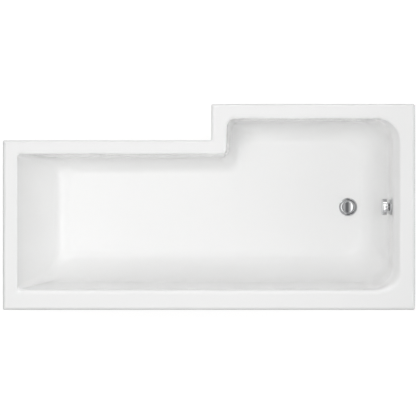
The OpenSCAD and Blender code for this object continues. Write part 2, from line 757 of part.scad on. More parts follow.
module knob_spindle() {
    color("silver") at_overflow() {
        drill(thin_from, knob_front - knob_spare - seat_gap, spindle_r);
        drill(bearing_top - bearing_depth + seat_gap, thin_from, spindle_thin_r);
    }
}
module cable_drum() {
    groove_r = drum_pitch_r - core_r - run_gap;
    color("khaki") at_overflow() rotate_extrude() polygon([
        [spindle_thin_r + run_gap, drum_z0], [drum_rim_r, drum_z0], [drum_rim_r, drum_z0 + drum_rim_t],
        [groove_r, drum_z0 + drum_rim_t], [groove_r, drum_z1 - drum_rim_t],
        [drum_rim_r, drum_z1 - drum_rim_t],
        [drum_rim_r, drum_z1], [spindle_thin_r + run_gap, drum_z1]]);
}
module overflow_seal() {
    color("dimgray") at_overflow() ring(over_body_top + seat_gap, -skin_t - seat_gap,
        overflow_hole_r + fibre_hole_extra, over_flange_r - seal_inset);
}
module overflow_body() {
    wall = 2.5;
    color("whitesmoke") at_overflow() difference() {
        union() {
            drill(over_body_top - over_flange_t, over_body_top, over_flange_r);
            drill(over_back, over_body_top, over_room_r + wall);
            translate([0, pipe_y, spigot_z]) along_x(-spigot_end, 0, pipe_r + socket_wall);
            translate([0, cable_y, drum_mid]) along_x(-cable_exit, 0, cable_r + socket_wall / 2);
        }
        difference() {
            drill(over_back + wall, over_body_top + overrun, over_room_r);
            drill(over_back, bearing_top, bearing_r);
        }
        drill(bearing_top - bearing_depth, bearing_top + overrun, spindle_thin_r + run_gap);
        translate([0, pipe_y, spigot_z]) {
            along_x(-spigot_end - overrun, -over_room_r / 2, pipe_r - pipe_wall);
            along_x(-spigot_end - overrun, -over_room_r - wall - overrun, pipe_r + run_gap);
        }
        translate([0, cable_y, drum_mid]) along_x(-cable_exit - overrun, 0, core_r + run_gap);
    }
}

// A hose in the XZ plane: down along the end wall, round a bend and level to the waste. Its route is
// a list of places and headings: start is its upper end in the overflow's frame, low_z its lower
// height and end_x its lower end.
bend_steps = 10;
function over_point(x, z) = [overflow_x + x * sin(waste_tilt) - z * cos(waste_tilt),
    overflow_z + x * cos(waste_tilt) + z * sin(waste_tilt)];
function route(start, low_z, end_x, bend_r) =
    let (p = over_point(start[0], start[1]),
        run = (p[1] - low_z - bend_r * (1 - sin(waste_tilt))) / cos(waste_tilt),
        c = [p[0] - run * sin(waste_tilt) - bend_r * cos(waste_tilt), low_z + bend_r])
    concat([[p[0], p[1], waste_tilt]],
        [for (k = [0:bend_steps]) let (h = waste_tilt + (90 - waste_tilt) * k / bend_steps)
            [c[0] + bend_r * cos(h), c[1] - bend_r * sin(h), h]],
        [[end_x, low_z, 90]]);
function hose_ring(s, y, r, sides) = [for (k = [0:sides - 1]) let (a = 360 * k / sides)
    [s[0] - r * cos(a) * cos(s[2]), y - r * sin(a), s[1] + r * cos(a) * sin(s[2])]];
module hose(way, y, r, bore_r, sides) {
    skin(concat([for (s = way) hose_ring(s, y, r, sides)],
        [for (k = [len(way) - 1:-1:0]) hose_ring(way[k], y, bore_r, sides)]), loop = true);
}

pipe_sides = 24;
pipe_bend_r = 60;
pipe_in_top = 14;
pipe_in = 18;
pipe_start = [pipe_in_top - spigot_end, spigot_z];
module overflow_pipe() {
    color("whitesmoke")
        hose(route(pipe_start, waste_z + pipe_low_z, waste_x + socket_end - pipe_in, pipe_bend_r),
            pipe_y, pipe_r, pipe_r - pipe_wall, pipe_sides);
}
pipe_nut_l = 16;
pipe_nut_over = 0.4;
pipe_nut_r = pipe_r + socket_wall + pipe_nut_over;
module pipe_nut(l) {
    ridge = 1.4;
    count = 12;
    difference() {
        union() {
            cylinder(h = l, r = pipe_nut_r);
            for (k = [0:count - 1]) rotate([0, 0, 360 * k / count])
                translate([0, -ridge, 0]) cube([pipe_nut_r + ridge, 2 * ridge, l]);
        }
        translate([0, 0, -overrun]) cylinder(h = l + 2 * overrun, r = pipe_r + run_gap);
    }
}
module pipe_nut_top() {
    color("whitesmoke") at_overflow() translate([-spigot_end - run_gap, pipe_y, spigot_z])
        rotate([0, -90, 0]) pipe_nut(pipe_nut_l);
}
module pipe_nut_bottom() {
    color("whitesmoke") at_waste() translate([socket_end + run_gap, pipe_y, pipe_low_z])
        rotate([0, 90, 0]) pipe_nut(pipe_nut_l);
}

// Cable: a sheath from the overflow's boss to the waste's, and the two ends of its moving core
cable_sides = 16;
cable_bend_r = 50;
core_in = 26;
cable_start = [-cable_exit - run_gap, drum_mid];
module cable_sheath() {
    color("black")
        hose(route(cable_start, waste_z + cable_low_z, waste_x + cable_boss_end + run_gap, cable_bend_r),
            cable_y, cable_r, core_r + run_gap, cable_sides);
}
module cable_core_top() {
    color("silver") at_overflow() translate([0, cable_y, drum_mid]) along_x(-cable_exit - core_in, 0, core_r);
}
tip_r = 2.2;
tip_l = 4;
module cable_core_end() {
    // The tip stands just off the hanging arm at the cable's height
    lean = lever_swing / 2;
    x0 = lever_arm + lift / 2 + lever_t / 2 / cos(lean) + tip_r * tan(lean) + seat_gap;
    color("silver") at_waste() translate([0, cable_y, cable_low_z]) {
        along_x(x0, x0 + tip_l, tip_r);
        along_x(x0, cable_boss_end + core_in, core_r);
    }
}

acrylic_shell();
glass_fibre_layer();
base_board();
batten_back();
batten_front();
batten_screen();
batten_head();
batten_waste();
batten_step();
cradle_bar_head();
cradle_bar_middle();
cradle_bar_waste();
bar_screws();
leg_stud(0);  // leg_stud_1
leg_stud(1);  // leg_stud_2
leg_stud(2);  // leg_stud_3
leg_stud(3);  // leg_stud_4
leg_stud(4);  // leg_stud_5
leg_stud(5);  // leg_stud_6
leg_foot(0);  // leg_foot_1
leg_foot(1);  // leg_foot_2
leg_foot(2);  // leg_foot_3
leg_foot(3);  // leg_foot_4
leg_foot(4);  // leg_foot_5
leg_foot(5);  // leg_foot_6
foot_nut(0);  // foot_nut_1
foot_nut(1);  // foot_nut_2
foot_nut(2);  // foot_nut_3
foot_nut(3);  // foot_nut_4
foot_nut(4);  // foot_nut_5
foot_nut(5);  // foot_nut_6
bar_nuts_upper();
bar_nuts_lower();
wall_bracket_left();
wall_bracket_right();
bracket_screws();
waste_flange();
waste_top_seal();
waste_bottom_seal();
waste_body();
waste_plug();
plug_seal();
lift_pin();
lift_lever();
lever_pin();
cable_sheath();
cable_core_top();
cable_core_end();
overflow_body();
overflow_seal();
overflow_plate();
overflow_knob();
knob_spindle();
grub_screw();
cable_drum();
overflow_pipe();
pipe_nut_top();
pipe_nut_bottom();
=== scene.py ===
import json
import math

import bmesh
import bpy
from mathutils import Matrix, Vector


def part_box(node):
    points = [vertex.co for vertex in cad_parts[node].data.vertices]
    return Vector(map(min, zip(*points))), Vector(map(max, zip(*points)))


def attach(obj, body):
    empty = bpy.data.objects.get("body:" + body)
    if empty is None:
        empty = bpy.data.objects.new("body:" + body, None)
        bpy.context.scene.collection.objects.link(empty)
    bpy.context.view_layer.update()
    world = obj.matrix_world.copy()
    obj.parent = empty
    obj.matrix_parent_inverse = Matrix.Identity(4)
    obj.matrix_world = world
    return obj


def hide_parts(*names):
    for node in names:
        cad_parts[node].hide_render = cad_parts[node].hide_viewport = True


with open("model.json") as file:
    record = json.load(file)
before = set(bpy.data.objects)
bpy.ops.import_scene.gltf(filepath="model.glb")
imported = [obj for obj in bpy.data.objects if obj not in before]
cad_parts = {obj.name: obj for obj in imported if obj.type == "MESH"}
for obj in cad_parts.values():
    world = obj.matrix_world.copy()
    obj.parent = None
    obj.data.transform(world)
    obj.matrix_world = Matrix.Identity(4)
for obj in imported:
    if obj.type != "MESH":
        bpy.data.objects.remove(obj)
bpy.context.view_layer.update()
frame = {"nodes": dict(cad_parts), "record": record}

nodes = frame["nodes"]
scene = bpy.context.scene
mm = 0.001
print("frame loaded:", len(nodes), "nodes")


# Shader helpers

def addNode(tree, kind, **values):
    # kind comes without its ShaderNode prefix; values go to its inputs or settings
    node = tree.nodes.new("ShaderNode" + kind)
    for key, value in values.items():
        if hasattr(node, key):
            setattr(node, key, value)
        else:
            node.inputs[key.replace("_", " ")].default_value = value
    return node


def newGroup(name, inputs, outputs):
    group = bpy.data.node_groups.new(name, "ShaderNodeTree")
    for label, value in inputs:
        kind = "NodeSocketFloat"
        if isinstance(value, tuple):
            kind = "NodeSocketColor" if len(value) == 4 else "NodeSocketVector"
        socket = group.interface.new_socket(label, in_out="INPUT", socket_type=kind)
        socket.default_value = value
    for label, kind in outputs:
        group.interface.new_socket(label, in_out="OUTPUT", socket_type="NodeSocket" + kind)
    return group, group.nodes.new("NodeGroupInput"), group.nodes.new("NodeGroupOutput")


def noise(group, vector, scale, detail=3.0, rough=0.55, distortion=0.0):
    node = addNode(group, "TexNoise", Detail=detail, Roughness=rough, Distortion=distortion)
    group.links.new(vector, node.inputs["Vector"])
    if isinstance(scale, (int, float)):
        node.inputs["Scale"].default_value = scale
    else:
        group.links.new(scale, node.inputs["Scale"])
    return node.outputs["Fac"]


def remap(group, value, low, high, outLow=0.0, outHigh=1.0, kind="SMOOTHSTEP"):
    node = group.nodes.new("ShaderNodeMapRange")
    node.interpolation_type = kind
    group.links.new(value, node.inputs["Value"])
    for label, number in (("From Min", low), ("From Max", high), ("To Min", outLow), ("To Max", outHigh)):
        if isinstance(number, (int, float)):
            node.inputs[label].default_value = number
        else:
            group.links.new(number, node.inputs[label])
    return node.outputs["Result"]


def mixColour(group, factor, first, second):
    node = group.nodes.new("ShaderNodeMix")
    node.data_type = "RGBA"
    for socket, value in ((node.inputs[0], factor), (node.inputs[6], first), (node.inputs[7], second)):
        if isinstance(value, (int, float, tuple)):
            socket.default_value = value
        else:
            group.links.new(value, socket)
    return node.outputs[2]


def maths(group, operation, first, second=0.0):
    node = group.nodes.new("ShaderNodeMath")
    node.operation = operation
    for socket, value in ((node.inputs[0], first), (node.inputs[1], second)):
        if isinstance(value, (int, float)):
            socket.default_value = value
        else:
            group.links.new(value, socket)
    return node.outputs[0]


def stretched(group, vector, scale):
    node = group.nodes.new("ShaderNodeMapping")
    group.links.new(vector, node.inputs["Vector"])
    if isinstance(scale, tuple):
        node.inputs["Scale"].default_value = scale
    else:
        group.links.new(scale, node.inputs["Scale"])
    return node.outputs["Vector"]


def addRelief(tree, surface, height, strength, depth):
    relief = addNode(tree, "Bump", Strength=strength, Distance=depth)
    tree.links.new(height, relief.inputs["Height"])
    tree.links.new(relief.outputs["Normal"], surface.inputs["Normal"])


# Effects shared by several materials

def makeSpeckle():
    group, start, end = newGroup("softSpeckle", [
        ("Vector", (0.0, 0.0, 0.0)), ("Patch Scale", 3.0), ("Grain Scale", 400.0),
        ("Colour", (0.8, 0.8, 0.8, 1.0)), ("Patch Colour", (0.75, 0.75, 0.75, 1.0)),
        ("Rough Low", 0.2), ("Rough High", 0.4)],
        [("Colour", "Color"), ("Roughness", "Float"), ("Height", "Float")])
    patch = noise(group, start.outputs["Vector"], start.outputs["Patch Scale"], 4.0)
    grain = noise(group, start.outputs["Vector"], start.outputs["Grain Scale"], 2.0)
    mask = remap(group, patch, 0.35, 0.68)
    group.links.new(mixColour(group, mask, start.outputs["Colour"], start.outputs["Patch Colour"]),
                    end.inputs["Colour"])
    both = maths(group, "ADD", maths(group, "MULTIPLY", patch, 0.65), maths(group, "MULTIPLY", grain, 0.35))
    group.links.new(remap(group, both, 0.3, 0.7, start.outputs["Rough Low"], start.outputs["Rough High"]),
                    end.inputs["Roughness"])
    group.links.new(grain, end.inputs["Height"])
    return group


def makeWoodFigure():
    group, start, end = newGroup("woodFigure", [
        ("Vector", (0.0, 0.0, 0.0)), ("Stretch", (1.0, 14.0, 14.0)), ("Light", (0.7, 0.5, 0.3, 1.0)),
        ("Dark", (0.5, 0.33, 0.17, 1.0))],
        [("Colour", "Color"), ("Roughness", "Float"), ("Height", "Float")])
    along = stretched(group, start.outputs["Vector"], start.outputs["Stretch"])
    rings = noise(group, along, 9.0, 3.0, 0.5, 1.2)
    fibres = noise(group, along, 70.0, 5.0, 0.7)
    waves = maths(group, "PINGPONG", maths(group, "MULTIPLY", rings, 7.0), 1.0)
    mask = maths(group, "ADD", maths(group, "MULTIPLY", waves, 0.6), maths(group, "MULTIPLY", fibres, 0.5))
    group.links.new(mixColour(group, remap(group, mask, 0.2, 0.9), start.outputs["Light"],
                              start.outputs["Dark"]), end.inputs["Colour"])
    group.links.new(remap(group, fibres, 0.3, 0.7, 0.62, 0.82), end.inputs["Roughness"])
    group.links.new(fibres, end.inputs["Height"])
    return group


def makeSpangle():
    group, start, end = newGroup("zincSpangle", [
        ("Vector", (0.0, 0.0, 0.0)), ("Size", 70.0), ("Light", (0.7, 0.7, 0.7, 1.0)),
        ("Dark", (0.5, 0.5, 0.52, 1.0)), ("Rough Low", 0.3), ("Rough High", 0.5)],
        [("Colour", "Color"), ("Roughness", "Float"), ("Height", "Float")])
    cells = group.nodes.new("ShaderNodeTexVoronoi")
    group.links.new(start.outputs["Vector"], cells.inputs["Vector"])
    group.links.new(start.outputs["Size"], cells.inputs["Scale"])
    shade = maths(group, "MULTIPLY", cells.outputs["Color"], 1.0)  # one grey for each cell
    frost = noise(group, start.outputs["Vector"], 260.0, 4.0)
    mask = maths(group, "ADD", maths(group, "MULTIPLY", shade, 0.7), maths(group, "MULTIPLY", frost, 0.3))
    group.links.new(mixColour(group, mask, start.outputs["Light"], start.outputs["Dark"]),
                    end.inputs["Colour"])
    group.links.new(remap(group, mask, 0.1, 0.9, start.outputs["Rough Low"], start.outputs["Rough High"]),
                    end.inputs["Roughness"])
    group.links.new(frost, end.inputs["Height"])
    return group


speckle = makeSpeckle()
woodFigure = makeWoodFigure()
spangle = makeSpangle()


def startMaterial(name):
    material = bpy.data.materials.new(name)
    material.use_nodes = True
    tree = material.node_tree
    return material, tree, tree.nodes["Principled BSDF"]


def placeGroup(tree, group, **values):
    where = tree.nodes.new("ShaderNodeTexCoord").outputs["Object"]
    node = tree.nodes.new("ShaderNodeGroup")
    node.node_tree = group
    tree.links.new(where, node.inputs["Vector"])
    for key, value in values.items():
        label = key.replace("_", " ")
        if isinstance(value, tuple) and len(value) == 3 and label != "Stretch":
            value = (*value, 1.0)
        node.inputs[label].default_value = value
    return node


def finishWith(name, group, values, metallic=0.0, bump=0.0, bumpDepth=0.0002, **shader):
    # a Principled material fed by one shared group
    material, tree, surface = startMaterial(name)
    made = placeGroup(tree, group, **values)
    tree.links.new(made.outputs["Colour"], surface.inputs["Base Color"])
    tree.links.new(made.outputs["Roughness"], surface.inputs["Roughness"])
    surface.inputs["Metallic"].default_value = metallic
    if bump:
        addRelief(tree, surface, made.outputs["Height"], bump, bumpDepth)
    for key, value in shader.items():
        surface.inputs[key.replace("_", " ")].default_value = value
    return material


def makeAcrylic():
    # glossy white sheet with a trace of waviness from forming and a faint haze of use
    material, tree, surface = startMaterial("whiteAcrylic")
    made = placeGroup(tree, speckle, Patch_Scale=2.2, Grain_Scale=900.0, Colour=(0.885, 0.885, 0.882),
                      Patch_Colour=(0.877, 0.878, 0.875), Rough_Low=0.1, Rough_High=0.16)
    tree.links.new(made.outputs["Colour"], surface.inputs["Base Color"])
    tree.links.new(made.outputs["Roughness"], surface.inputs["Roughness"])
    wave = addNode(tree, "TexNoise", Scale=7.0, Detail=1.0)
    tree.links.new(tree.nodes.new("ShaderNodeTexCoord").outputs["Object"], wave.inputs["Vector"])
    addRelief(tree, surface, wave.outputs["Fac"], 0.06, 0.0006)
    surface.inputs["IOR"].default_value = 1.49
    surface.inputs["Coat Weight"].default_value = 0.25
    surface.inputs["Coat Roughness"].default_value = 0.04
    return material


def makeFibreglass():
    # chopped strands in yellowish resin, sprayed on the back of the sheet
    material, tree, surface = startMaterial("sprayedFibreglass")
    where = tree.nodes.new("ShaderNodeTexCoord").outputs["Object"]
    strands = None
    for turn in (0.0, 1.05, 2.1):  # three directions of strands
        spin = tree.nodes.new("ShaderNodeMapping")
        spin.inputs["Rotation"].default_value = (turn, turn * 0.7, turn)
        spin.inputs["Scale"].default_value = (22.0, 160.0, 160.0)
        tree.links.new(where, spin.inputs["Vector"])
        lines = noise(tree, spin.outputs["Vector"], 1.0, 2.0, 0.5, 0.6)
        thin = remap(tree, lines, 0.56, 0.66)
        strands = thin if strands is None else maths(tree, "MAXIMUM", strands, thin)
    pools = noise(tree, where, 14.0, 4.0)
    resin = mixColour(tree, remap(tree, pools, 0.35, 0.7), (0.66, 0.62, 0.46, 1.0), (0.5, 0.45, 0.3, 1.0))
    tree.links.new(mixColour(tree, maths(tree, "MULTIPLY", strands, 0.6), resin, (0.83, 0.82, 0.72, 1.0)),
                   surface.inputs["Base Color"])
    tree.links.new(remap(tree, pools, 0.3, 0.7, 0.32, 0.55), surface.inputs["Roughness"])
    raised = maths(tree, "ADD", maths(tree, "MULTIPLY", strands, 0.6), pools)
    addRelief(tree, surface, raised, 0.6, 0.0009)
    return material


def makeChipboard():
    # pressed chips of several browns
    material, tree, surface = startMaterial("chipboard")
    where = tree.nodes.new("ShaderNodeTexCoord").outputs["Object"]
    chips = tree.nodes.new("ShaderNodeTexVoronoi")
    chips.inputs["Scale"].default_value = 150.0
    tree.links.new(stretched(tree, where, (1.0, 0.55, 2.2)), chips.inputs["Vector"])
    shade = maths(tree, "MULTIPLY", chips.outputs["Color"], 1.0)  # one grey for each chip
    dust = noise(tree, where, 420.0, 3.0)
    mask = maths(tree, "ADD", maths(tree, "MULTIPLY", shade, 0.75), maths(tree, "MULTIPLY", dust, 0.25))
    tree.links.new(mixColour(tree, remap(tree, mask, 0.15, 0.85), (0.72, 0.53, 0.32, 1.0),
                             (0.36, 0.23, 0.12, 1.0)), surface.inputs["Base Color"])
    tree.links.new(remap(tree, dust, 0.3, 0.7, 0.7, 0.9), surface.inputs["Roughness"])
    addRelief(tree, surface, mask, 0.5, 0.0004)
    return material


def makeChrome():
    # bright plating with faint wiping marks
    return finishWith("chromePlate", speckle, dict(
        Patch_Scale=40.0, Grain_Scale=700.0, Colour=(0.565, 0.57, 0.578), Patch_Colour=(0.54, 0.545, 0.553),
        Rough_Low=0.045, Rough_High=0.1), metallic=1.0)


acrylic = makeAcrylic()
fibreglass = makeFibreglass()
chipboard = makeChipboard()
chrome = makeChrome()
battenAlongX = finishWith("battenAlongLength", woodFigure, dict(
    Stretch=(0.8, 14.0, 14.0), Light=(0.73, 0.55, 0.33), Dark=(0.52, 0.35, 0.18)), bump=0.4)
battenAlongY = finishWith("battenAcross", woodFigure, dict(
    Stretch=(14.0, 0.8, 14.0), Light=(0.73, 0.55, 0.33), Dark=(0.52, 0.35, 0.18)), bump=0.4)
galvanised = finishWith("galvanisedSteel", spangle, dict(
    Size=95.0, Light=(0.66, 0.68, 0.69), Dark=(0.42, 0.44, 0.46), Rough_Low=0.28, Rough_High=0.46),
    metallic=1.0, bump=0.15)
zinc = finishWith("zincPlatedSteel", speckle, dict(
    Patch_Scale=60.0, Grain_Scale=900.0, Colour=(0.62, 0.63, 0.65), Patch_Colour=(0.5, 0.51, 0.53),
    Rough_Low=0.22, Rough_High=0.38), metallic=1.0, bump=0.1, bumpDepth=0.0001)
yellowZinc = finishWith("yellowZincSteel", speckle, dict(
    Patch_Scale=90.0, Grain_Scale=900.0, Colour=(0.72, 0.55, 0.22), Patch_Colour=(0.55, 0.45, 0.3),
    Rough_Low=0.2, Rough_High=0.4), metallic=1.0)
brightSteel = finishWith("drawnSteel", speckle, dict(
    Patch_Scale=50.0, Grain_Scale=800.0, Colour=(0.66, 0.66, 0.66), Patch_Colour=(0.58, 0.58, 0.58),
    Rough_Low=0.18, Rough_High=0.32), metallic=1.0)
blackOxide = finishWith("blackOxideSteel", speckle, dict(
    Patch_Scale=80.0, Grain_Scale=900.0, Colour=(0.06, 0.06, 0.065), Patch_Colour=(0.1, 0.1, 0.1),
    Rough_Low=0.3, Rough_High=0.5), metallic=1.0)
footPlastic = finishWith("blackFootPlastic", speckle, dict(
    Patch_Scale=25.0, Grain_Scale=1300.0, Colour=(0.035, 0.035, 0.037), Patch_Colour=(0.055, 0.054, 0.052),
    Rough_Low=0.45, Rough_High=0.62), bump=0.3, bumpDepth=0.00015)
rubber = finishWith("blackRubber", speckle, dict(
    Patch_Scale=40.0, Grain_Scale=1500.0, Colour=(0.025, 0.025, 0.025), Patch_Colour=(0.04, 0.04, 0.04),
    Rough_Low=0.6, Rough_High=0.8), bump=0.25, bumpDepth=0.0001)
whitePlastic = finishWith("whiteMouldedPlastic", speckle, dict(
    Patch_Scale=20.0, Grain_Scale=1400.0, Colour=(0.8, 0.8, 0.775), Patch_Colour=(0.76, 0.755, 0.72),
    Rough_Low=0.3, Rough_High=0.42), bump=0.12, bumpDepth=0.0001)
innerPlastic = finishWith("creamInnerPlastic", speckle, dict(
    Patch_Scale=60.0, Grain_Scale=1400.0, Colour=(0.78, 0.73, 0.56), Patch_Colour=(0.72, 0.66, 0.5),
    Rough_Low=0.3, Rough_High=0.45))
cablePlastic = finishWith("blackCableJacket", speckle, dict(
    Patch_Scale=30.0, Grain_Scale=1500.0, Colour=(0.02, 0.02, 0.022), Patch_Colour=(0.035, 0.035, 0.036),
    Rough_Low=0.3, Rough_High=0.45), bump=0.1, bumpDepth=0.0001)
print("materials made")

finishOfSlot = {
    "acrylic": acrylic, "fibreglass": fibreglass, "chipboard": chipboard, "batten_wood": battenAlongX,
    "galvanised_steel": galvanised, "zinc_steel": zinc, "foot_plastic": footPlastic,
    "yellow_screw": yellowZinc, "chrome": chrome, "bright_steel": brightSteel, "dark_steel": blackOxide,
    "rubber": rubber, "white_plastic": whitePlastic, "inner_plastic": innerPlastic,
    "cable_plastic": cablePlastic}
slotOfNode = {part["node"]: part["material_slot"] for part in frame["record"]["subparts"]}
for nodeName, piece in nodes.items():
    finish = finishOfSlot[slotOfNode[nodeName]]
    if nodeName in ("batten_head", "batten_waste", "batten_step"):
        finish = battenAlongY
    if not piece.material_slots:
        piece.data.materials.append(finish)
    for holder in piece.material_slots:
        holder.material = finish


# Mesh helpers, all in millimetres until the mesh is made

creaseAngle = 35.0  # degrees; smaller turns are shaded smooth


def makePiece(name, verts, faces, body, node, sharp=creaseAngle, place=None):
    # a mesh piece that stands for one CAD node and takes its slot
    mesh = bpy.data.meshes.new(name)
    place = place or Matrix.Identity(4)
    mesh.from_pydata([(place @ Vector(v)) * mm for v in verts], [], faces)
    mesh.validate()
    tidyNormals(mesh, sharp)
    piece = bpy.data.objects.new(name, mesh)
    scene.collection.objects.link(piece)
    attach(piece, body)
    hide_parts(node)
    mesh.materials.append(nodes[node].material_slots[0].material)
    return piece


def tidyNormals(mesh, sharp):
    work = bmesh.new()
    work.from_mesh(mesh)
    bmesh.ops.remove_doubles(work, verts=work.verts, dist=1e-7)
    bmesh.ops.recalc_face_normals(work, faces=work.faces)
    work.to_mesh(mesh)
    work.free()
    mesh.shade_smooth()
    mesh.set_sharp_from_angle(angle=math.radians(sharp))


def cutAway(piece, cutters):
    # takes closed meshes (verts, faces, place) out of a piece
    for verts, faces, place in cutters:
        mesh = bpy.data.meshes.new("cutter")
        mesh.from_pydata([(place @ Vector(v)) * mm for v in verts], [], faces)
        work = bmesh.new()
        work.from_mesh(mesh)
        bmesh.ops.recalc_face_normals(work, faces=work.faces)
        work.to_mesh(mesh)
        work.free()
        tool = bpy.data.objects.new("cutter", mesh)
        scene.collection.objects.link(tool)
        step = piece.modifiers.new("cut", "BOOLEAN")
        step.operation, step.solver, step.object = "DIFFERENCE", "EXACT", tool
        bpy.context.view_layer.update()
        cut = bpy.data.meshes.new_from_object(piece.evaluated_get(bpy.context.evaluated_depsgraph_get()))
        piece.modifiers.remove(step)
        old = piece.data
        piece.data = cut
        bpy.data.meshes.remove(old)
        bpy.data.objects.remove(tool)
    tidyNormals(piece.data, creaseAngle)


def addShapes(piece, place, *shapes):
    # puts closed shapes into a piece that is already made
    verts, faces = joined(*shapes)
    work = bmesh.new()
    work.from_mesh(piece.data)
    added = [work.verts.new((place @ Vector(v)) * mm) for v in verts]
    for face in faces:
        work.faces.new([added[k] for k in face])
    work.to_mesh(piece.data)
    work.free()
    tidyNormals(piece.data, creaseAngle)


def roundedPath(points, closed=True, step=12.0):
    # (r, z, rounding) corners become a path with arcs; step is the degrees from one point to the next
    made = []
    count = len(points)
    for k, (x, y, radius) in enumerate(points):
        here = Vector((x, y))
        if radius <= 0 or (not closed and k in (0, count - 1)):
            made.append((x, y))
            continue
        before = Vector(points[k - 1][:2]) - here
        after = Vector(points[(k + 1) % count][:2]) - here
        turn = math.pi - before.angle(after)
        if turn < 0.02:
            made.append((x, y))
            continue
        reach = radius * math.tan(turn / 2)
        most = 0.48 * min(before.length, after.length)  # two arcs on one line stay apart
        if reach > most:
            reach, radius = most, most / math.tan(turn / 2)
        a = here + before.normalized() * reach
        b = here + after.normalized() * reach
        centre = here + (before.normalized() + after.normalized()).normalized() * math.hypot(radius, reach)
        steps = max(2, round(math.degrees(turn) / step))
        start, end = a - centre, b - centre
        for n in range(steps + 1):
            share = n / steps
            spun = start.slerp(end, share) if turn < 3.1 else start.lerp(end, share)
            made.append(tuple(centre + spun.normalized() * radius))
    return made


def lathe(path, sides=96, closed=True):
    # (r, z) path turned about Z
    verts, faces, rows = [], [], []
    for r, z in path:
        if r < 1e-6:
            rows.append([len(verts)] * sides)
            verts.append((0.0, 0.0, z))
        else:
            rows.append(list(range(len(verts), len(verts) + sides)))
            verts += [(r * math.cos(math.tau * k / sides), r * math.sin(math.tau * k / sides), z)
                      for k in range(sides)]
    pairs = list(zip(rows, rows[1:])) + ([(rows[-1], rows[0])] if closed else [])
    for low, high in pairs:
        for k in range(sides):
            n = (k + 1) % sides
            corners = []
            for v in (low[k], low[n], high[n], high[k]):
                if v not in corners:
                    corners.append(v)
            if len(corners) > 2:
                faces.append(corners)
    return verts, faces


def boxShape(x0, x1, y0, y1, z0, z1):
    verts = [(x, y, z) for x in (x0, x1) for y in (y0, y1) for z in (z0, z1)]
    return verts, [(0, 1, 3, 2), (4, 6, 7, 5), (0, 4, 5, 1), (2, 3, 7, 6), (0, 2, 6, 4), (1, 5, 7, 3)]


def rodShape(radius, low, high, sides=64):
    return lathe([(0.0, low), (radius, low), (radius, high), (0.0, high)], sides, closed=False)


def joined(*shapes):
    # (verts, faces) lists put together
    verts, faces = [], []
    for v, f in shapes:
        faces += [[k + len(verts) for k in face] for face in f]
        verts += v
    return verts, faces


def placed(shape, place):
    return [tuple(place @ Vector(v)) for v in shape[0]], shape[1]


def extruded(outline, length):
    # an (x, y) outline drawn out along Z
    count = len(outline)
    verts = [(x, y, 0.0) for x, y in outline] + [(x, y, length) for x, y in outline]
    faces = [(k, (k + 1) % count, count + (k + 1) % count, count + k) for k in range(count)]
    return verts, faces + [tuple(range(count)), tuple(range(2 * count - 1, count - 1, -1))]


bury = 0.5  # how deep one closed shape runs into the next


def crossShape(hub, bore, reach, arm, low, high):
    # a bored hub on four arms
    made = [lathe(roundedPath([(bore, low, 0.3), (hub, low, 0.5), (hub, high, 0.5), (bore, high, 0.3)]), 48)]
    bar = boxShape(hub - bury, reach, -arm / 2, arm / 2, low, high)
    return made + [placed(bar, Matrix.Rotation(math.pi / 2 * k, 4, "Z")) for k in range(4)]


# The tub

# leads is the shoulder under the rim, flares a curve that grows down the wall, and fillets the run and
# rise of the curve at its foot
tub = dict(
    length=1700.0, wide=850.0, narrow=700.0, wideLength=840.0, rimHeight=550.0, depth=395.0, fall=8.0,
    sheet=4.0, fibre=3.5, fibreGap=0.3, fibreTop=24.0, lipDrop=40.0, lipRound=12.0, lipCorner=7.0,
    lipEdge=0.8,
    # each side in turn: back, waste end, screen side, step, front, head end
    rimWidths=(62, 55, 54, 54, 51, 54), tilts=(7, 7, 2.5, 3, 2.5, 16), edges=(24, 6, 6, 6, 6, 6),
    leads=(0, 23, 0, 0, 0, 0), leadDepth=58.0, leadSoft=16.0,
    flares=(0, 62, 0, 0, 0, 62), flareStarts=(0, 166, 0, 0, 0, 0),
    fillets=((120, 150), (30, 50), (80, 130), (46, 90), (62, 110), (50, 50)),
    # each corner: head and back, back and waste, waste and screen, screen and step, step and front,
    # front and head
    rimCorners=((12, 12), (105, 80), (95, 95), (34, 34), (14, 14), (12, 12)),
    floorCorners=((45, 45), (130, 120), (110, 110), (55, 55), (45, 45), (45, 45)),
    stepLean=5.0, cornerSteps=16, wasteFromEnd=272.0, overflowDrop=120.0,
    holeRadius=26.0, holeReach=40.0, holeSpare=1.0)
halfLength, halfWidth = tub["length"] / 2, tub["wide"] / 2
stepX, frontY = halfLength - tub["wideLength"], tub["narrow"] - tub["wide"] / 2
wasteX, wasteZ = halfLength - tub["wasteFromEnd"], tub["rimHeight"] - tub["depth"]
wallTilt = math.radians(tub["tilts"][1])
reflex = 4  # the one corner that turns inwards, between step and front


def edgeInset(side, d, t=0.0):
    # how far the rounded edge turns in at depth d, t under the sheet's face
    edge = tub["edges"][side]
    return edge - t if d >= edge else math.sqrt(max(0.0, (edge - t) ** 2 - (edge - d) ** 2))


def softLead(d):
    # the shoulder above the overflow runs into the wall without a crease
    full, soft = tub["leadDepth"], tub["leadSoft"]
    past = min(max(0.0, d - full + soft), 2 * soft)
    return (min(d, full - soft) + past - past ** 2 / (4 * soft)) / full


def wallInset(side, d):
    # from the bath's outer line to the wall's inner face at depth d
    edge = tub["edges"][side]
    inset = tub["rimWidths"][side] + edgeInset(side, d)
    inset += tub["leads"][side] * softLead(d)
    inset += math.tan(math.radians(tub["tilts"][side])) * max(0.0, d - edge)
    start = tub["flareStarts"][side]
    inset += tub["flares"][side] * (max(0.0, d - start) / (tub["depth"] - start)) ** 2
    run, rise = tub["fillets"][side]
    u = min(1.0, max(0.0, (d - tub["depth"] + rise) / rise))
    return inset + run * (1 - math.sqrt(1 - u * u))


headFootX = wallInset(5, tub["depth"]) - halfLength
fallRatio = tub["fall"] / (wasteX - headFootX)


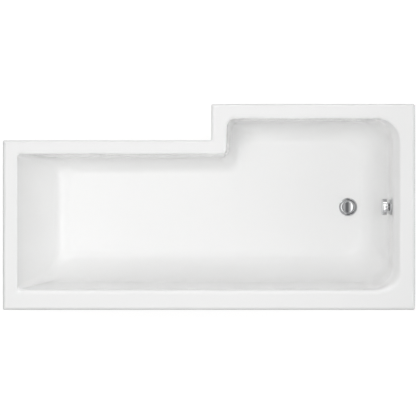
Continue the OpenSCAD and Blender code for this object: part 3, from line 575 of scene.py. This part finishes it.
def fallRise(x):
    return fallRatio * (wasteX - x)


def outline(insets, radii, lean, steps):
    # the L of six sides, with an ellipse's quarter at each corner
    x0, x1, xs = insets[5] - halfLength, halfLength - insets[1], stepX + insets[3]
    y0, y1, y2 = insets[0] - halfWidth, frontY - insets[4], halfWidth - insets[2]
    corners = (
        (x0 + radii[0][0], y0 + radii[0][1], radii[0], 180, 270),
        (x1 - radii[1][0], y0 + radii[1][1], radii[1], 270, 360),
        (x1 - radii[2][0], y2 - radii[2][1], radii[2], 0, 90),
        (xs + lean + radii[3][0], y2 - radii[3][1], radii[3], 90, 180),
        (xs - radii[4][0], y1 + radii[4][1], radii[4], 0, -90),
        (x0 + radii[5][0], y1 - radii[5][1], radii[5], 90, 180))
    points = []
    for cx, cy, (rx, ry), start, end in corners:
        for k in range(steps + 1):
            a = math.radians(start + (end - start) * k / steps)
            points.append((cx + rx * math.cos(a), cy + ry * math.sin(a)))
    return points


def tubRing(d, t, inward=0.0):
    # the tub at depth d, t outside the sheet's inner face; inward draws the ring in over the floor
    # the sheet's thickness turns from level to upright over the front wall's fillet
    rise = tub["fillets"][4][1]
    bend = math.asin(min(1.0, max(0.0, (d - tub["depth"] + rise) / rise)))
    out = t * math.cos(bend) - inward
    insets = [wallInset(side, d) - edgeInset(side, d) + edgeInset(side, d, t) + t - out
              for side in range(6)]
    radii = []
    for corner in range(6):
        grow = -out if corner == reflex else out
        radii.append([max(1.0, low + (high - low) * d / tub["depth"] + grow)
                      for low, high in zip(tub["rimCorners"][corner], tub["floorCorners"][corner])])
    top = tub["rimHeight"] - d - t * math.sin(bend)
    return [(x, y, top + fallRise(x) * d / tub["depth"])
            for x, y in outline(insets, radii, tub["stepLean"], tub["cornerSteps"])]


def rimRing(inset, z):
    corner = tub["lipCorner"]
    radii = [[corner + inset] * 2 if k == reflex else [max(1.0, corner - inset)] * 2 for k in range(6)]
    return [(x, y, z) for x, y in outline([inset] * 6, radii, 0.0, tub["cornerSteps"])]


def between(low, high, share):
    return [tuple(Vector(a).lerp(Vector(b), share)) for a, b in zip(low, high)]


def loft(rings):
    count = len(rings[0])
    verts = [p for ring in rings for p in ring]
    faces = [tuple(range(count - 1, -1, -1)), tuple(range(len(verts) - count, len(verts)))]
    for i in range(len(rings) - 1):
        for j in range(count):
            n = (j + 1) % count
            faces.append((i * count + j, i * count + n, (i + 1) * count + n, (i + 1) * count + j))
    return verts, faces


edgeDepths = [tub["edges"][0] * s for s in (0.0, 0.01, 0.04, 0.09, 0.16, 0.25, 0.36, 0.5, 0.64, 0.8, 1.0)]
wallDepths = [30.0, 36.0, 42.0, 46.0, 50.0, 54.0, 58.0, 62.0, 66.0, 70.0, 74.0, 110.0, 166.0, 185.0, 205.0,
              225.0]
filletTop = tub["fillets"][0][1]
floorDepths = [tub["depth"] - filletTop * (1 - math.sin(math.radians(a))) for a in range(0, 91, 3)]
overflowX = halfLength - wallInset(1, tub["overflowDrop"])
overflowZ = tub["rimHeight"] - tub["overflowDrop"]
atWaste = Matrix.Translation((wasteX, 0.0, wasteZ))
atOverflow = (Matrix.Translation((overflowX, 0.0, overflowZ))
              @ Matrix.Rotation(wallTilt - math.pi / 2, 4, "Y"))


def fittingHoles(spare=0.0):
    hole = rodShape(tub["holeRadius"] + spare, -tub["holeReach"], tub["holeReach"])
    return [(*hole, atWaste), (*hole, atOverflow)]


def buildTub():
    sheet, top, lipRound, soft = tub["sheet"], tub["rimHeight"], tub["lipRound"], tub["lipEdge"]
    # rings close to an edge keep the floor and the rim flat in the shading
    inside = [tubRing(tub["depth"], 0.0, inward) for inward in (25.0, 8.0, 2.0)]
    inside += [tubRing(d, 0.0) for d in reversed(floorDepths)]
    inside += [tubRing(d, 0.0) for d in reversed(edgeDepths + wallDepths)]
    rimInner, rimOuter = tubRing(0.0, 0.0), rimRing(lipRound, top)
    flat = [between(rimInner, rimOuter, share) for share in (0.02, 0.06, 0.94, 0.98)]
    angles = [math.radians(9.0 * k) for k in range(11)]
    lip = [rimRing(lipRound * (1 - math.sin(a)), top - lipRound * (1 - math.cos(a))) for a in angles]
    low = top - tub["lipDrop"]
    lip += [rimRing(0.0, low + 8.0), rimRing(0.0, low + soft), rimRing(0.3, low + 0.2), rimRing(soft, low),
            rimRing(sheet - soft, low), rimRing(sheet, low + soft)]
    inner = lipRound - sheet
    lip += [rimRing(lipRound - inner * math.sin(a), top - lipRound + inner * math.cos(a))
            for a in reversed(angles)]
    underEdge = [sheet, 5.0, 6.0, 9.0, 14.0, edgeDepths[-1]]
    under = [tubRing(d, sheet) for d in underEdge + wallDepths + floorDepths]
    under += [tubRing(tub["depth"], sheet, inward) for inward in (2.0, 8.0)]
    piece = makePiece("tubShell", *loft(inside + flat + lip + under), "tub", "acrylic_shell")
    cutAway(piece, fittingHoles())
    return piece


def buildFibre():
    # the sprayed layer follows the back of the sheet and thins at its top edge
    gap, thick, start = tub["sheet"] + tub["fibreGap"], tub["fibre"], tub["fibreTop"]
    depths = [start, start + 1.0] + wallDepths + floorDepths
    inner = [tubRing(d, gap) for d in reversed(depths)]
    outer = [tubRing(start, gap + 1.0)] + [tubRing(d, gap + thick) for d in depths[1:]]
    piece = makePiece("fibreLayer", *loft(inner + outer), "tub", "glass_fibre_layer")
    cutAway(piece, fittingHoles(tub["holeSpare"]))
    return piece


tubShell = buildTub()
fibreLayer = buildFibre()
print("tub made:", len(tubShell.data.vertices), "and", len(fibreLayer.data.vertices), "points")


# Waste: heights from the floor at the waste

waste = dict(flange=37.5, flangeLow=1.7, edgeHigh=3.1, crown=4.6, bead=4.0, dish=0.6, bowl=24.45,
             bowlTop=3.0, bowlEdge=2.2, bore=20.0, seatFoot=-4.0, tube=23.0, tubeEnd=-30.0, crossTop=-18.0,
             crossLow=-22.0, arm=4.0, hub=7.5, hubBore=4.05)
plug = dict(radius=23.25, crown=5.2, domeEdge=3.5, domeIn=1.6, domeSteps=14, edgeHigh=3.0, edgeLow=1.6,
            core=17.0, sealCore=15.0, sealHigh=-0.3, sealLow=-3.7, cone=2.7, stem=4.0, stemEnd=-31.0)


def buildFlange():
    w = waste
    path = roundedPath([
        (w["bore"], w["seatFoot"], 0.4), (w["bowl"], w["bowlTop"], 0.6),
        (w["bowl"] + w["bowlEdge"], w["crown"] - w["dish"], 1.4),
        (w["flange"] - w["bead"], w["crown"], 2.6), (w["flange"], w["edgeHigh"], 1.0),
        (w["flange"], w["flangeLow"], 0.3), (w["tube"], w["flangeLow"], 0), (w["tube"], w["tubeEnd"], 0.5),
        (w["bore"], w["tubeEnd"], 0.5)], step=7.0)
    cross = crossShape(w["hub"], w["hubBore"], w["bore"] + 2 * bury, w["arm"], w["crossLow"], w["crossTop"])
    return makePiece("wasteFlange", *joined(lathe(path, 128), *cross), "tub", "waste_flange", place=atWaste)


def buildPlug():
    p = plug
    sag = p["crown"] - p["domeEdge"]
    edge, steps = p["radius"] - p["domeIn"], p["domeSteps"]
    curve = (edge ** 2 + sag ** 2) / (2 * sag)  # the dome's radius
    dome = []
    for r in (edge * k / steps for k in range(steps + 1)):
        dome.append((r, p["crown"] - curve + math.sqrt(curve ** 2 - r ** 2)))
    under = roundedPath([
        dome[-1] + (0.0,), (p["radius"], p["edgeHigh"], 1.1), (p["radius"] - 0.1, p["edgeLow"], 0.4),
        (p["core"], p["sealHigh"], 0.5), (p["sealCore"], p["sealHigh"], 0.2),
        (p["sealCore"], p["sealLow"], 0.2), (p["core"], p["sealLow"], 0.4),
        (p["stem"], p["sealLow"] - p["cone"], 1.0), (p["stem"], p["stemEnd"], 0.6), (0.0, p["stemEnd"], 0)],
        closed=False, step=9.0)
    return makePiece("plugBody", *lathe(dome + under[1:], 128, closed=False), "plug", "waste_plug",
                     place=atWaste)


buildFlange()
buildPlug()

# Overflow, in the end wall's frame: X up the wall, Z into the tub

overflow = dict(plate=35.0, plateLow=0.3, plateTop=4.0, stepTop=8.0, stepIn=3.0, stepRun=3.2, neck=22.0,
                neckWall=3.0, neckTop=17.2, tubeEnd=-16.0, webTop=-5.0, webLow=-9.0, webArm=5.0, hub=9.0,
                spindle=4.05, windowWide=26.0, windowHigh=6.5, windowUp=0.2)
knob = dict(radius=34.0, back=17.8, front=36.5, wall=4.0, cup=9.0, hub=9.0, spindle=4.05, spare=3.5,
            bevel=2.4, crownMiddle=4.0, grub=3.05, grubUp=5.8, boss=5.5, bossIn=2.0, bossShort=1.5)


def buildPlate():
    o = overflow
    inner, stepFoot = o["neck"] - o["neckWall"], o["plate"] - o["stepIn"]
    path = roundedPath([
        (inner, o["tubeEnd"], 0.5), (o["neck"], o["tubeEnd"], 0.5), (o["neck"], o["plateLow"], 0),
        (o["plate"], o["plateLow"], 0.3), (o["plate"], o["plateTop"], 1.4), (stepFoot, o["plateTop"], 0.4),
        (stepFoot - o["stepRun"], o["stepTop"], 0.6), (o["neck"], o["stepTop"], 0.8),
        (o["neck"], o["neckTop"], 0.6), (inner, o["neckTop"], 0.6)], step=8.0)
    piece = makePiece("overflowPlate", *lathe(path, 128), "tub", "overflow_plate", place=atOverflow)
    windowLow, half = o["stepTop"] + o["windowUp"], o["windowWide"] / 2
    window = boxShape(o["neck"] / 2, o["neck"] + 1.0, -half, half, windowLow, windowLow + o["windowHigh"])
    cutAway(piece, [(*window, atOverflow @ Matrix.Rotation(math.pi / 2 * k, 4, "Z")) for k in range(4)])
    addShapes(piece, atOverflow, *crossShape(o["hub"], o["spindle"], o["neck"] - 2 * bury, o["webArm"],
                                             o["webLow"], o["webTop"]))
    return piece


def buildKnob():
    k = knob
    path = roundedPath([
        (k["spindle"], k["back"], 0.3), (k["hub"], k["back"], 0.6), (k["hub"], k["back"] + k["cup"], 1.0),
        (k["radius"] - k["wall"], k["back"] + k["cup"], 2.0), (k["radius"] - k["wall"], k["back"], 0.6),
        (k["radius"], k["back"], 0.9), (k["radius"], k["front"], k["bevel"]),
        (k["crownMiddle"], k["front"], 0), (0.0, k["front"], 0), (0.0, k["front"] - k["spare"], 0),
        (k["spindle"], k["front"] - k["spare"], 0)], step=7.0)
    piece = makePiece("knobBody", *lathe(path, 160), "knob", "overflow_knob", place=atOverflow)
    across = Matrix.Translation((0.0, 0.0, k["back"] + k["grubUp"])) @ Matrix.Rotation(math.pi / 2, 4, "Y")
    start = k["hub"] - k["bossIn"]
    addShapes(piece, atOverflow @ across, rodShape(k["boss"], start, k["radius"] - k["bossShort"], 48))
    cutAway(piece, [(*rodShape(k["grub"], start - 1.0, k["radius"] + 2.0), atOverflow @ across)])
    return piece


buildPlate()
buildKnob()
print("waste and overflow made")


# Legs

leg = dict(stud=5.0, pitch=1.5, thread=0.75, crest=(0.45, 0.6), turnSteps=16, footRadius=27.0,
           footHigh=30.0, sole=6.0, skirtIn=3.5, neck=12.0, waistIn=2.0, collar=4.0, socket=5.0, ribs=8,
           ribThick=2.4, ribIn=2.0, bore=5.05, flats=17.0, chamfer=1.1, studAboveBar=42.0, nutHigh=8.0,
           barSheet=2.0, play=0.05, threadCrease=50.0, nutCrease=20.0, count=6)


def threadShape(radius, low, high):
    # a V thread wound about Z, with plain ends
    steps, pitch, depth = leg["turnSteps"], leg["pitch"], leg["thread"]
    crestLow, crestHigh = (share * pitch for share in leg["crest"])
    rows = int((high - low) / pitch * steps)
    verts, faces = [], []
    for i in range(rows + steps + 1):
        a, z = math.tau * i / steps, low + pitch * (i / steps - 1)
        for r, lift in ((radius - depth, 0.0), (radius, crestLow), (radius, crestHigh)):
            verts.append((r * math.cos(a), r * math.sin(a), min(high, max(low, z + lift))))
    for i in range(rows + steps):
        for j in range(2):
            faces.append((3 * i + j, 3 * (i + 1) + j, 3 * (i + 1) + j + 1, 3 * i + j + 1))
        if i + steps + 1 <= rows + steps:
            faces.append((3 * i + 2, 3 * (i + 1) + 2, 3 * (i + 1 + steps), 3 * (i + steps)))
    core = rodShape(radius - depth - leg["play"], low, high - 0.3, 24)
    tip = lathe([(0.0, high), (radius - depth, high), (radius - depth, high - 0.8)], 24, closed=False)
    return joined((verts, faces), core, tip)


def nutShape(low, high, bore):
    # a hexagon with its corners turned off at both faces
    half, cut = leg["flats"] / 2, leg["chamfer"]
    sides = 72
    rows = [(bore + 0.3, low), (half - 0.2, low), (None, low + cut), (None, high - cut), (half - 0.2, high),
            (bore + 0.3, high), (bore, high - 0.3), (bore, low + 0.3)]
    verts, faces = [], []
    for r, z in rows:
        for k in range(sides):
            a = math.tau * k / sides
            flat = half / math.cos((a + math.pi / 6) % (math.pi / 3) - math.pi / 6)
            here = flat if r is None else min(r, flat)
            verts.append((here * math.cos(a), here * math.sin(a), z))
    for i in range(len(rows)):
        j = (i + 1) % len(rows)
        for k in range(sides):
            n = (k + 1) % sides
            faces.append((i * sides + k, i * sides + n, j * sides + n, j * sides + k))
    return verts, faces


def footShape():
    reach, high, sole, neck = leg["footRadius"], leg["footHigh"], leg["sole"], leg["neck"]
    waist, collar, bore = neck - leg["waistIn"], high - leg["collar"], leg["bore"]
    path = roundedPath([
        (0.0, 0.0, 0), (reach, 0.0, 0.6), (reach, sole, 1.6), (reach - leg["skirtIn"], sole + 1.0, 1.5),
        (waist, high - sole, 6.0), (waist, collar, 0.5), (neck, collar, 0.5), (neck, high, 0.8),
        (bore, high, 0.4), (bore, leg["socket"], 0), (0.0, leg["socket"], 0)], step=10.0)
    foot, root = reach - leg["ribIn"], neck - 2 * leg["ribIn"]
    rib = [(root, sole), (foot, sole), (foot, sole + 1.6), (neck - 0.4, high - sole - 0.6),
           (root, high - sole)]
    stand = Matrix.Rotation(math.pi / 2, 4, "X") @ Matrix.Translation((0.0, 0.0, -leg["ribThick"] / 2))
    fin = extruded(rib, leg["ribThick"])
    turns = [Matrix.Rotation(math.tau * k / leg["ribs"], 4, "Z") @ stand for k in range(leg["ribs"])]
    return joined(lathe(path, 72), *[placed(fin, turn) for turn in turns])


def buildLegs():
    bore, play, nutCrease = leg["bore"], leg["play"], leg["nutCrease"]
    tops, bottoms = [], []
    for k in range(1, leg["count"] + 1):
        low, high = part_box("leg_stud_%d" % k)
        x, y = (low.x + high.x) / 2 / mm, (low.y + high.y) / 2 / mm
        spot = Matrix.Translation((x, y, 0.0))
        body = "leg_%d" % k
        makePiece("threadedStud%d" % k, *threadShape(leg["stud"], low.z / mm, high.z / mm), body,
                  "leg_stud_%d" % k, sharp=leg["threadCrease"], place=spot)
        makePiece("ribbedFoot%d" % k, *footShape(), body, "leg_foot_%d" % k, place=spot)
        nutLow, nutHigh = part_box("foot_nut_%d" % k)
        makePiece("lockNut%d" % k, *nutShape(nutLow.z / mm, nutHigh.z / mm, bore), body, "foot_nut_%d" % k,
                  sharp=nutCrease, place=spot)
        above = high.z / mm - leg["studAboveBar"] + play
        below = above - leg["barSheet"] - 2 * play
        tops.append(placed(nutShape(above, above + leg["nutHigh"], bore), spot))
        bottoms.append(placed(nutShape(below - leg["nutHigh"], below, bore), spot))
    makePiece("upperBarNuts", *joined(*tops), "tub", "bar_nuts_upper", sharp=nutCrease)
    makePiece("lowerBarNuts", *joined(*bottoms), "tub", "bar_nuts_lower", sharp=nutCrease)


buildLegs()
print("legs made")


# Screws, pipe and cable

screw = dict(head=4.0, headHigh=2.5, shank=2.0, long=13.0, slot=1.0, slotShare=0.6, slotDeep=1.4)


def screwShape():
    s = screw
    path = roundedPath([(0.0, -s["headHigh"], 0), (s["head"], -s["headHigh"], 1.7), (s["head"], 0.0, 0.3),
                        (s["shank"], 0.0, 0), (s["shank"], s["long"] - 2.0, 0), (0.0, s["long"], 0)],
                       closed=False)
    return lathe(path, 32, closed=False)


def islandMiddles(node):
    # the middle of each separate solid of a node, and its lowest height
    work = bmesh.new()
    work.from_mesh(nodes[node].data)
    bmesh.ops.remove_doubles(work, verts=work.verts, dist=1e-6)
    seen, found = set(), []
    for vert in work.verts:
        if vert.index in seen:
            continue
        stack, island = [vert], []
        seen.add(vert.index)
        while stack:
            v = stack.pop()
            island.append(v.co)
            for edge in v.link_edges:
                other = edge.other_vert(v)
                if other.index not in seen:
                    seen.add(other.index)
                    stack.append(other)
        xs, ys, zs = ([c[k] for c in island] for k in range(3))
        found.append(((min(xs) + max(xs)) / 2 / mm, (min(ys) + max(ys)) / 2 / mm, min(zs) / mm))
    work.free()
    return sorted(found)


def buildScrews(name, node):
    s = screw
    spots = [Matrix.Translation((x, y, z + s["headHigh"])) for x, y, z in islandMiddles(node)]
    piece = makePiece(name, *joined(*[placed(screwShape(), spot) for spot in spots]), "tub", node)
    reach, half = s["head"] * s["slotShare"], s["slot"] / 2
    for wide, deep in ((reach, half), (half, reach)):
        bar = boxShape(-wide, wide, -deep, deep, -s["headHigh"] - 1.0, s["slotDeep"] - s["headHigh"])
        cutAway(piece, [(*joined(*[placed(bar, spot) for spot in spots]), Matrix.Identity(4))])
    return piece


buildScrews("boardScrews", "bar_screws")
buildScrews("bracketScrews", "bracket_screws")

# start is from the overflow, up the wall and out of the tub; low and end are from the waste
pipe = dict(radius=14.0, wall=2.5, y=-18.0, start=(-32.0, -33.0), low=-42.0, end=40.0, bend=60.0,
            bendSteps=24, sides=48)
cable = dict(radius=3.0, wall=2.05, y=4.77465, start=(-40.05, -22.0), low=-59.995, end=45.05, bend=50.0,
             bendSteps=24, sides=24)


def hoseRoute(p):
    # (x, z, heading) stations: down the end wall, round one bend and level to the waste
    up, inward = p["start"]
    x = overflowX + up * math.sin(wallTilt) - inward * math.cos(wallTilt)
    z = overflowZ + up * math.cos(wallTilt) + inward * math.sin(wallTilt)
    low = wasteZ + p["low"]
    run = (z - low - p["bend"] * (1 - math.sin(wallTilt))) / math.cos(wallTilt)
    cx, cz = x - run * math.sin(wallTilt) - p["bend"] * math.cos(wallTilt), low + p["bend"]
    made = [(x, z, wallTilt)]
    for k in range(p["bendSteps"] + 1):
        h = wallTilt + (math.pi / 2 - wallTilt) * k / p["bendSteps"]
        made.append((cx + p["bend"] * math.cos(h), cz - p["bend"] * math.sin(h), h))
    return made + [(wasteX + p["end"], low, math.pi / 2)]


def buildHose(name, node, p):
    route = hoseRoute(p)
    verts, sides = [], p["sides"]
    for r, stations in ((p["radius"], route), (p["radius"] - p["wall"], route[::-1])):
        for x, z, h in stations:
            for k in range(sides):
                a = math.tau * k / sides
                verts.append((x - r * math.cos(a) * math.cos(h), p["y"] - r * math.sin(a),
                              z + r * math.cos(a) * math.sin(h)))
    rings = len(verts) // sides
    faces = [(i * sides + k, i * sides + (k + 1) % sides, (i + 1) % rings * sides + (k + 1) % sides,
              (i + 1) % rings * sides + k) for i in range(rings) for k in range(sides)]
    return makePiece(name, verts, faces, "tub", node)


buildHose("overflowHose", "overflow_pipe", pipe)
buildHose("cableJacket", "cable_sheath", cable)
print("screws, pipe and cable made")


# Floor, light and camera

# glow is what the floor adds for the camera and for shiny surfaces, over its own matt tone
stage = dict(size=60.0, level=-0.0002, tone=0.3, glow=0.86)
# the world's soft light, then what shiny surfaces see: a ceiling with a dark gap, both in X over Z
light = dict(zenith=0.36, horizon=0.12, ceiling=0.65, gap=(0.23, 0.23, 0.235), ceilingFrom=(0.3, 0.75),
             gapLow=(-0.19, -0.13), gapHigh=(0.06, 0.02))
# tip and lean turn a lamp about X and about Y, in degrees; shine lets it show in shiny surfaces, and
# light lets it light matt ones
lamps = {
    "overhead": dict(at=(-0.52, -0.05, 5.0), tip=0.0, lean=0.0, size=(2.4, 2.4), radiance=7.1,
                     shine=False, light=True),
    "sideStrip": dict(at=(1.27, -0.1, 3.0), tip=0.0, lean=14.0, size=(0.42, 5.2), radiance=1.3,
                      shine=True, light=False),
    "farPanel": dict(at=(0.0, 5.0, 2.6), tip=-66.0, lean=0.0, size=(5.0, 2.4), radiance=1.5,
                     shine=True, light=True),
    "edgeStrip": dict(at=(0.0, 2.3, 4.6), tip=-27.0, lean=0.0, size=(7.0, 0.5), radiance=2.3,
                      shine=True, light=False),
    "sidePanel": dict(at=(6.0, 0.0, 4.5), tip=0.0, lean=54.0, size=(3.2, 5.0), radiance=1.5,
                      shine=True, light=True),
}


def shinyRays(tree):
    # 1 for rays from the camera, from a reflection or through glass
    path = tree.nodes.new("ShaderNodeLightPath")
    return maths(tree, "MAXIMUM", path.outputs["Is Camera Ray"],
                 maths(tree, "MAXIMUM", path.outputs["Is Glossy Ray"], path.outputs["Is Transmission Ray"]))


def buildFloor():
    half = stage["size"] / 2
    mesh = bpy.data.meshes.new("studioFloor")
    mesh.from_pydata([(-half, -half, stage["level"]), (half, -half, stage["level"]),
                      (half, half, stage["level"]), (-half, half, stage["level"])], [], [(0, 1, 2, 3)])
    floor = bpy.data.objects.new("studioFloor", mesh)
    scene.collection.objects.link(floor)
    material = bpy.data.materials.new("paleFloor")
    material.use_nodes = True
    tree = material.node_tree
    tree.nodes.clear()
    matt = addNode(tree, "BsdfDiffuse", Color=(stage["tone"], stage["tone"], stage["tone"], 1.0))
    glow = tree.nodes.new("ShaderNodeEmission")
    tree.links.new(maths(tree, "MULTIPLY", shinyRays(tree), stage["glow"]), glow.inputs["Strength"])
    both = tree.nodes.new("ShaderNodeAddShader")
    tree.links.new(matt.outputs[0], both.inputs[0])
    tree.links.new(glow.outputs[0], both.inputs[1])
    clear = tree.nodes.new("ShaderNodeBsdfTransparent")
    under = tree.nodes.new("ShaderNodeMixShader")  # clear from below, so that the underside can be seen
    tree.links.new(tree.nodes.new("ShaderNodeNewGeometry").outputs["Backfacing"], under.inputs[0])
    tree.links.new(both.outputs[0], under.inputs[1])
    tree.links.new(clear.outputs[0], under.inputs[2])
    tree.links.new(under.outputs[0], tree.nodes.new("ShaderNodeOutputMaterial").inputs["Surface"])
    mesh.materials.append(material)


def buildWorld():
    # white where it can be seen; a grey ceiling with a dark gap, which only shiny surfaces show
    world = bpy.data.worlds.new("studio")
    world.use_nodes = True
    scene.world = world
    tree = world.node_tree
    tree.nodes.clear()
    where = tree.nodes.new("ShaderNodeSeparateXYZ")
    tree.links.new(tree.nodes.new("ShaderNodeTexCoord").outputs["Generated"], where.inputs[0])
    up = where.outputs["Z"]
    across = maths(tree, "DIVIDE", where.outputs["X"], maths(tree, "MAXIMUM", up, 0.05))
    gap = maths(tree, "MULTIPLY", remap(tree, across, *light["gapLow"]),
                remap(tree, across, *light["gapHigh"]))
    ceiling = mixColour(tree, gap, (*[light["ceiling"]] * 3, 1.0), (*light["gap"], 1.0))
    seen = mixColour(tree, remap(tree, up, *light["ceilingFrom"]), (1.0, 1.0, 1.0, 1.0), ceiling)
    soft = mixColour(tree, remap(tree, up, 0.0, 1.0, kind="LINEAR"), (*[light["horizon"]] * 3, 1.0),
                     (*[light["zenith"]] * 3, 1.0))
    tone = mixColour(tree, shinyRays(tree), soft, seen)
    back = tree.nodes.new("ShaderNodeBackground")
    tree.links.new(tone, back.inputs["Color"])
    tree.links.new(back.outputs[0], tree.nodes.new("ShaderNodeOutputWorld").inputs["Surface"])


def buildLamps():
    for name, panel in lamps.items():
        wide, long = panel["size"]
        data = bpy.data.lights.new(name, "AREA")
        data.shape, data.size, data.size_y = "RECTANGLE", wide, long
        data.energy = panel["radiance"] * math.pi * wide * long  # watts, so that size leaves the radiance
        lamp = bpy.data.objects.new(name, data)
        scene.collection.objects.link(lamp)
        lamp.location = panel["at"]
        lamp.rotation_euler = (math.radians(panel["tip"]), math.radians(panel["lean"]), 0.0)
        lamp.visible_glossy = panel["shine"]
        lamp.visible_camera = False
        lamp.visible_diffuse = panel["light"]


def buildCamera():
    # far above with a long lens, so that the walls show as they do in the photograph
    c = dict(high=75.0, x=-0.0035, y=-0.0042, across=1.7168, sensor=36.0, clip=(10.0, 200.0))
    data = bpy.data.cameras.new("longLens")
    data.sensor_width = c["sensor"]
    data.lens = c["sensor"] * (c["high"] - tub["rimHeight"] * mm) / c["across"]
    data.clip_start, data.clip_end = c["clip"]
    camera = bpy.data.objects.new("longLens", data)
    scene.collection.objects.link(camera)
    camera.location = (c["x"], c["y"], c["high"])
    scene.camera = camera


buildFloor()
buildWorld()
buildLamps()
buildCamera()
scene.view_settings.view_transform = "Standard"
print("studio made")
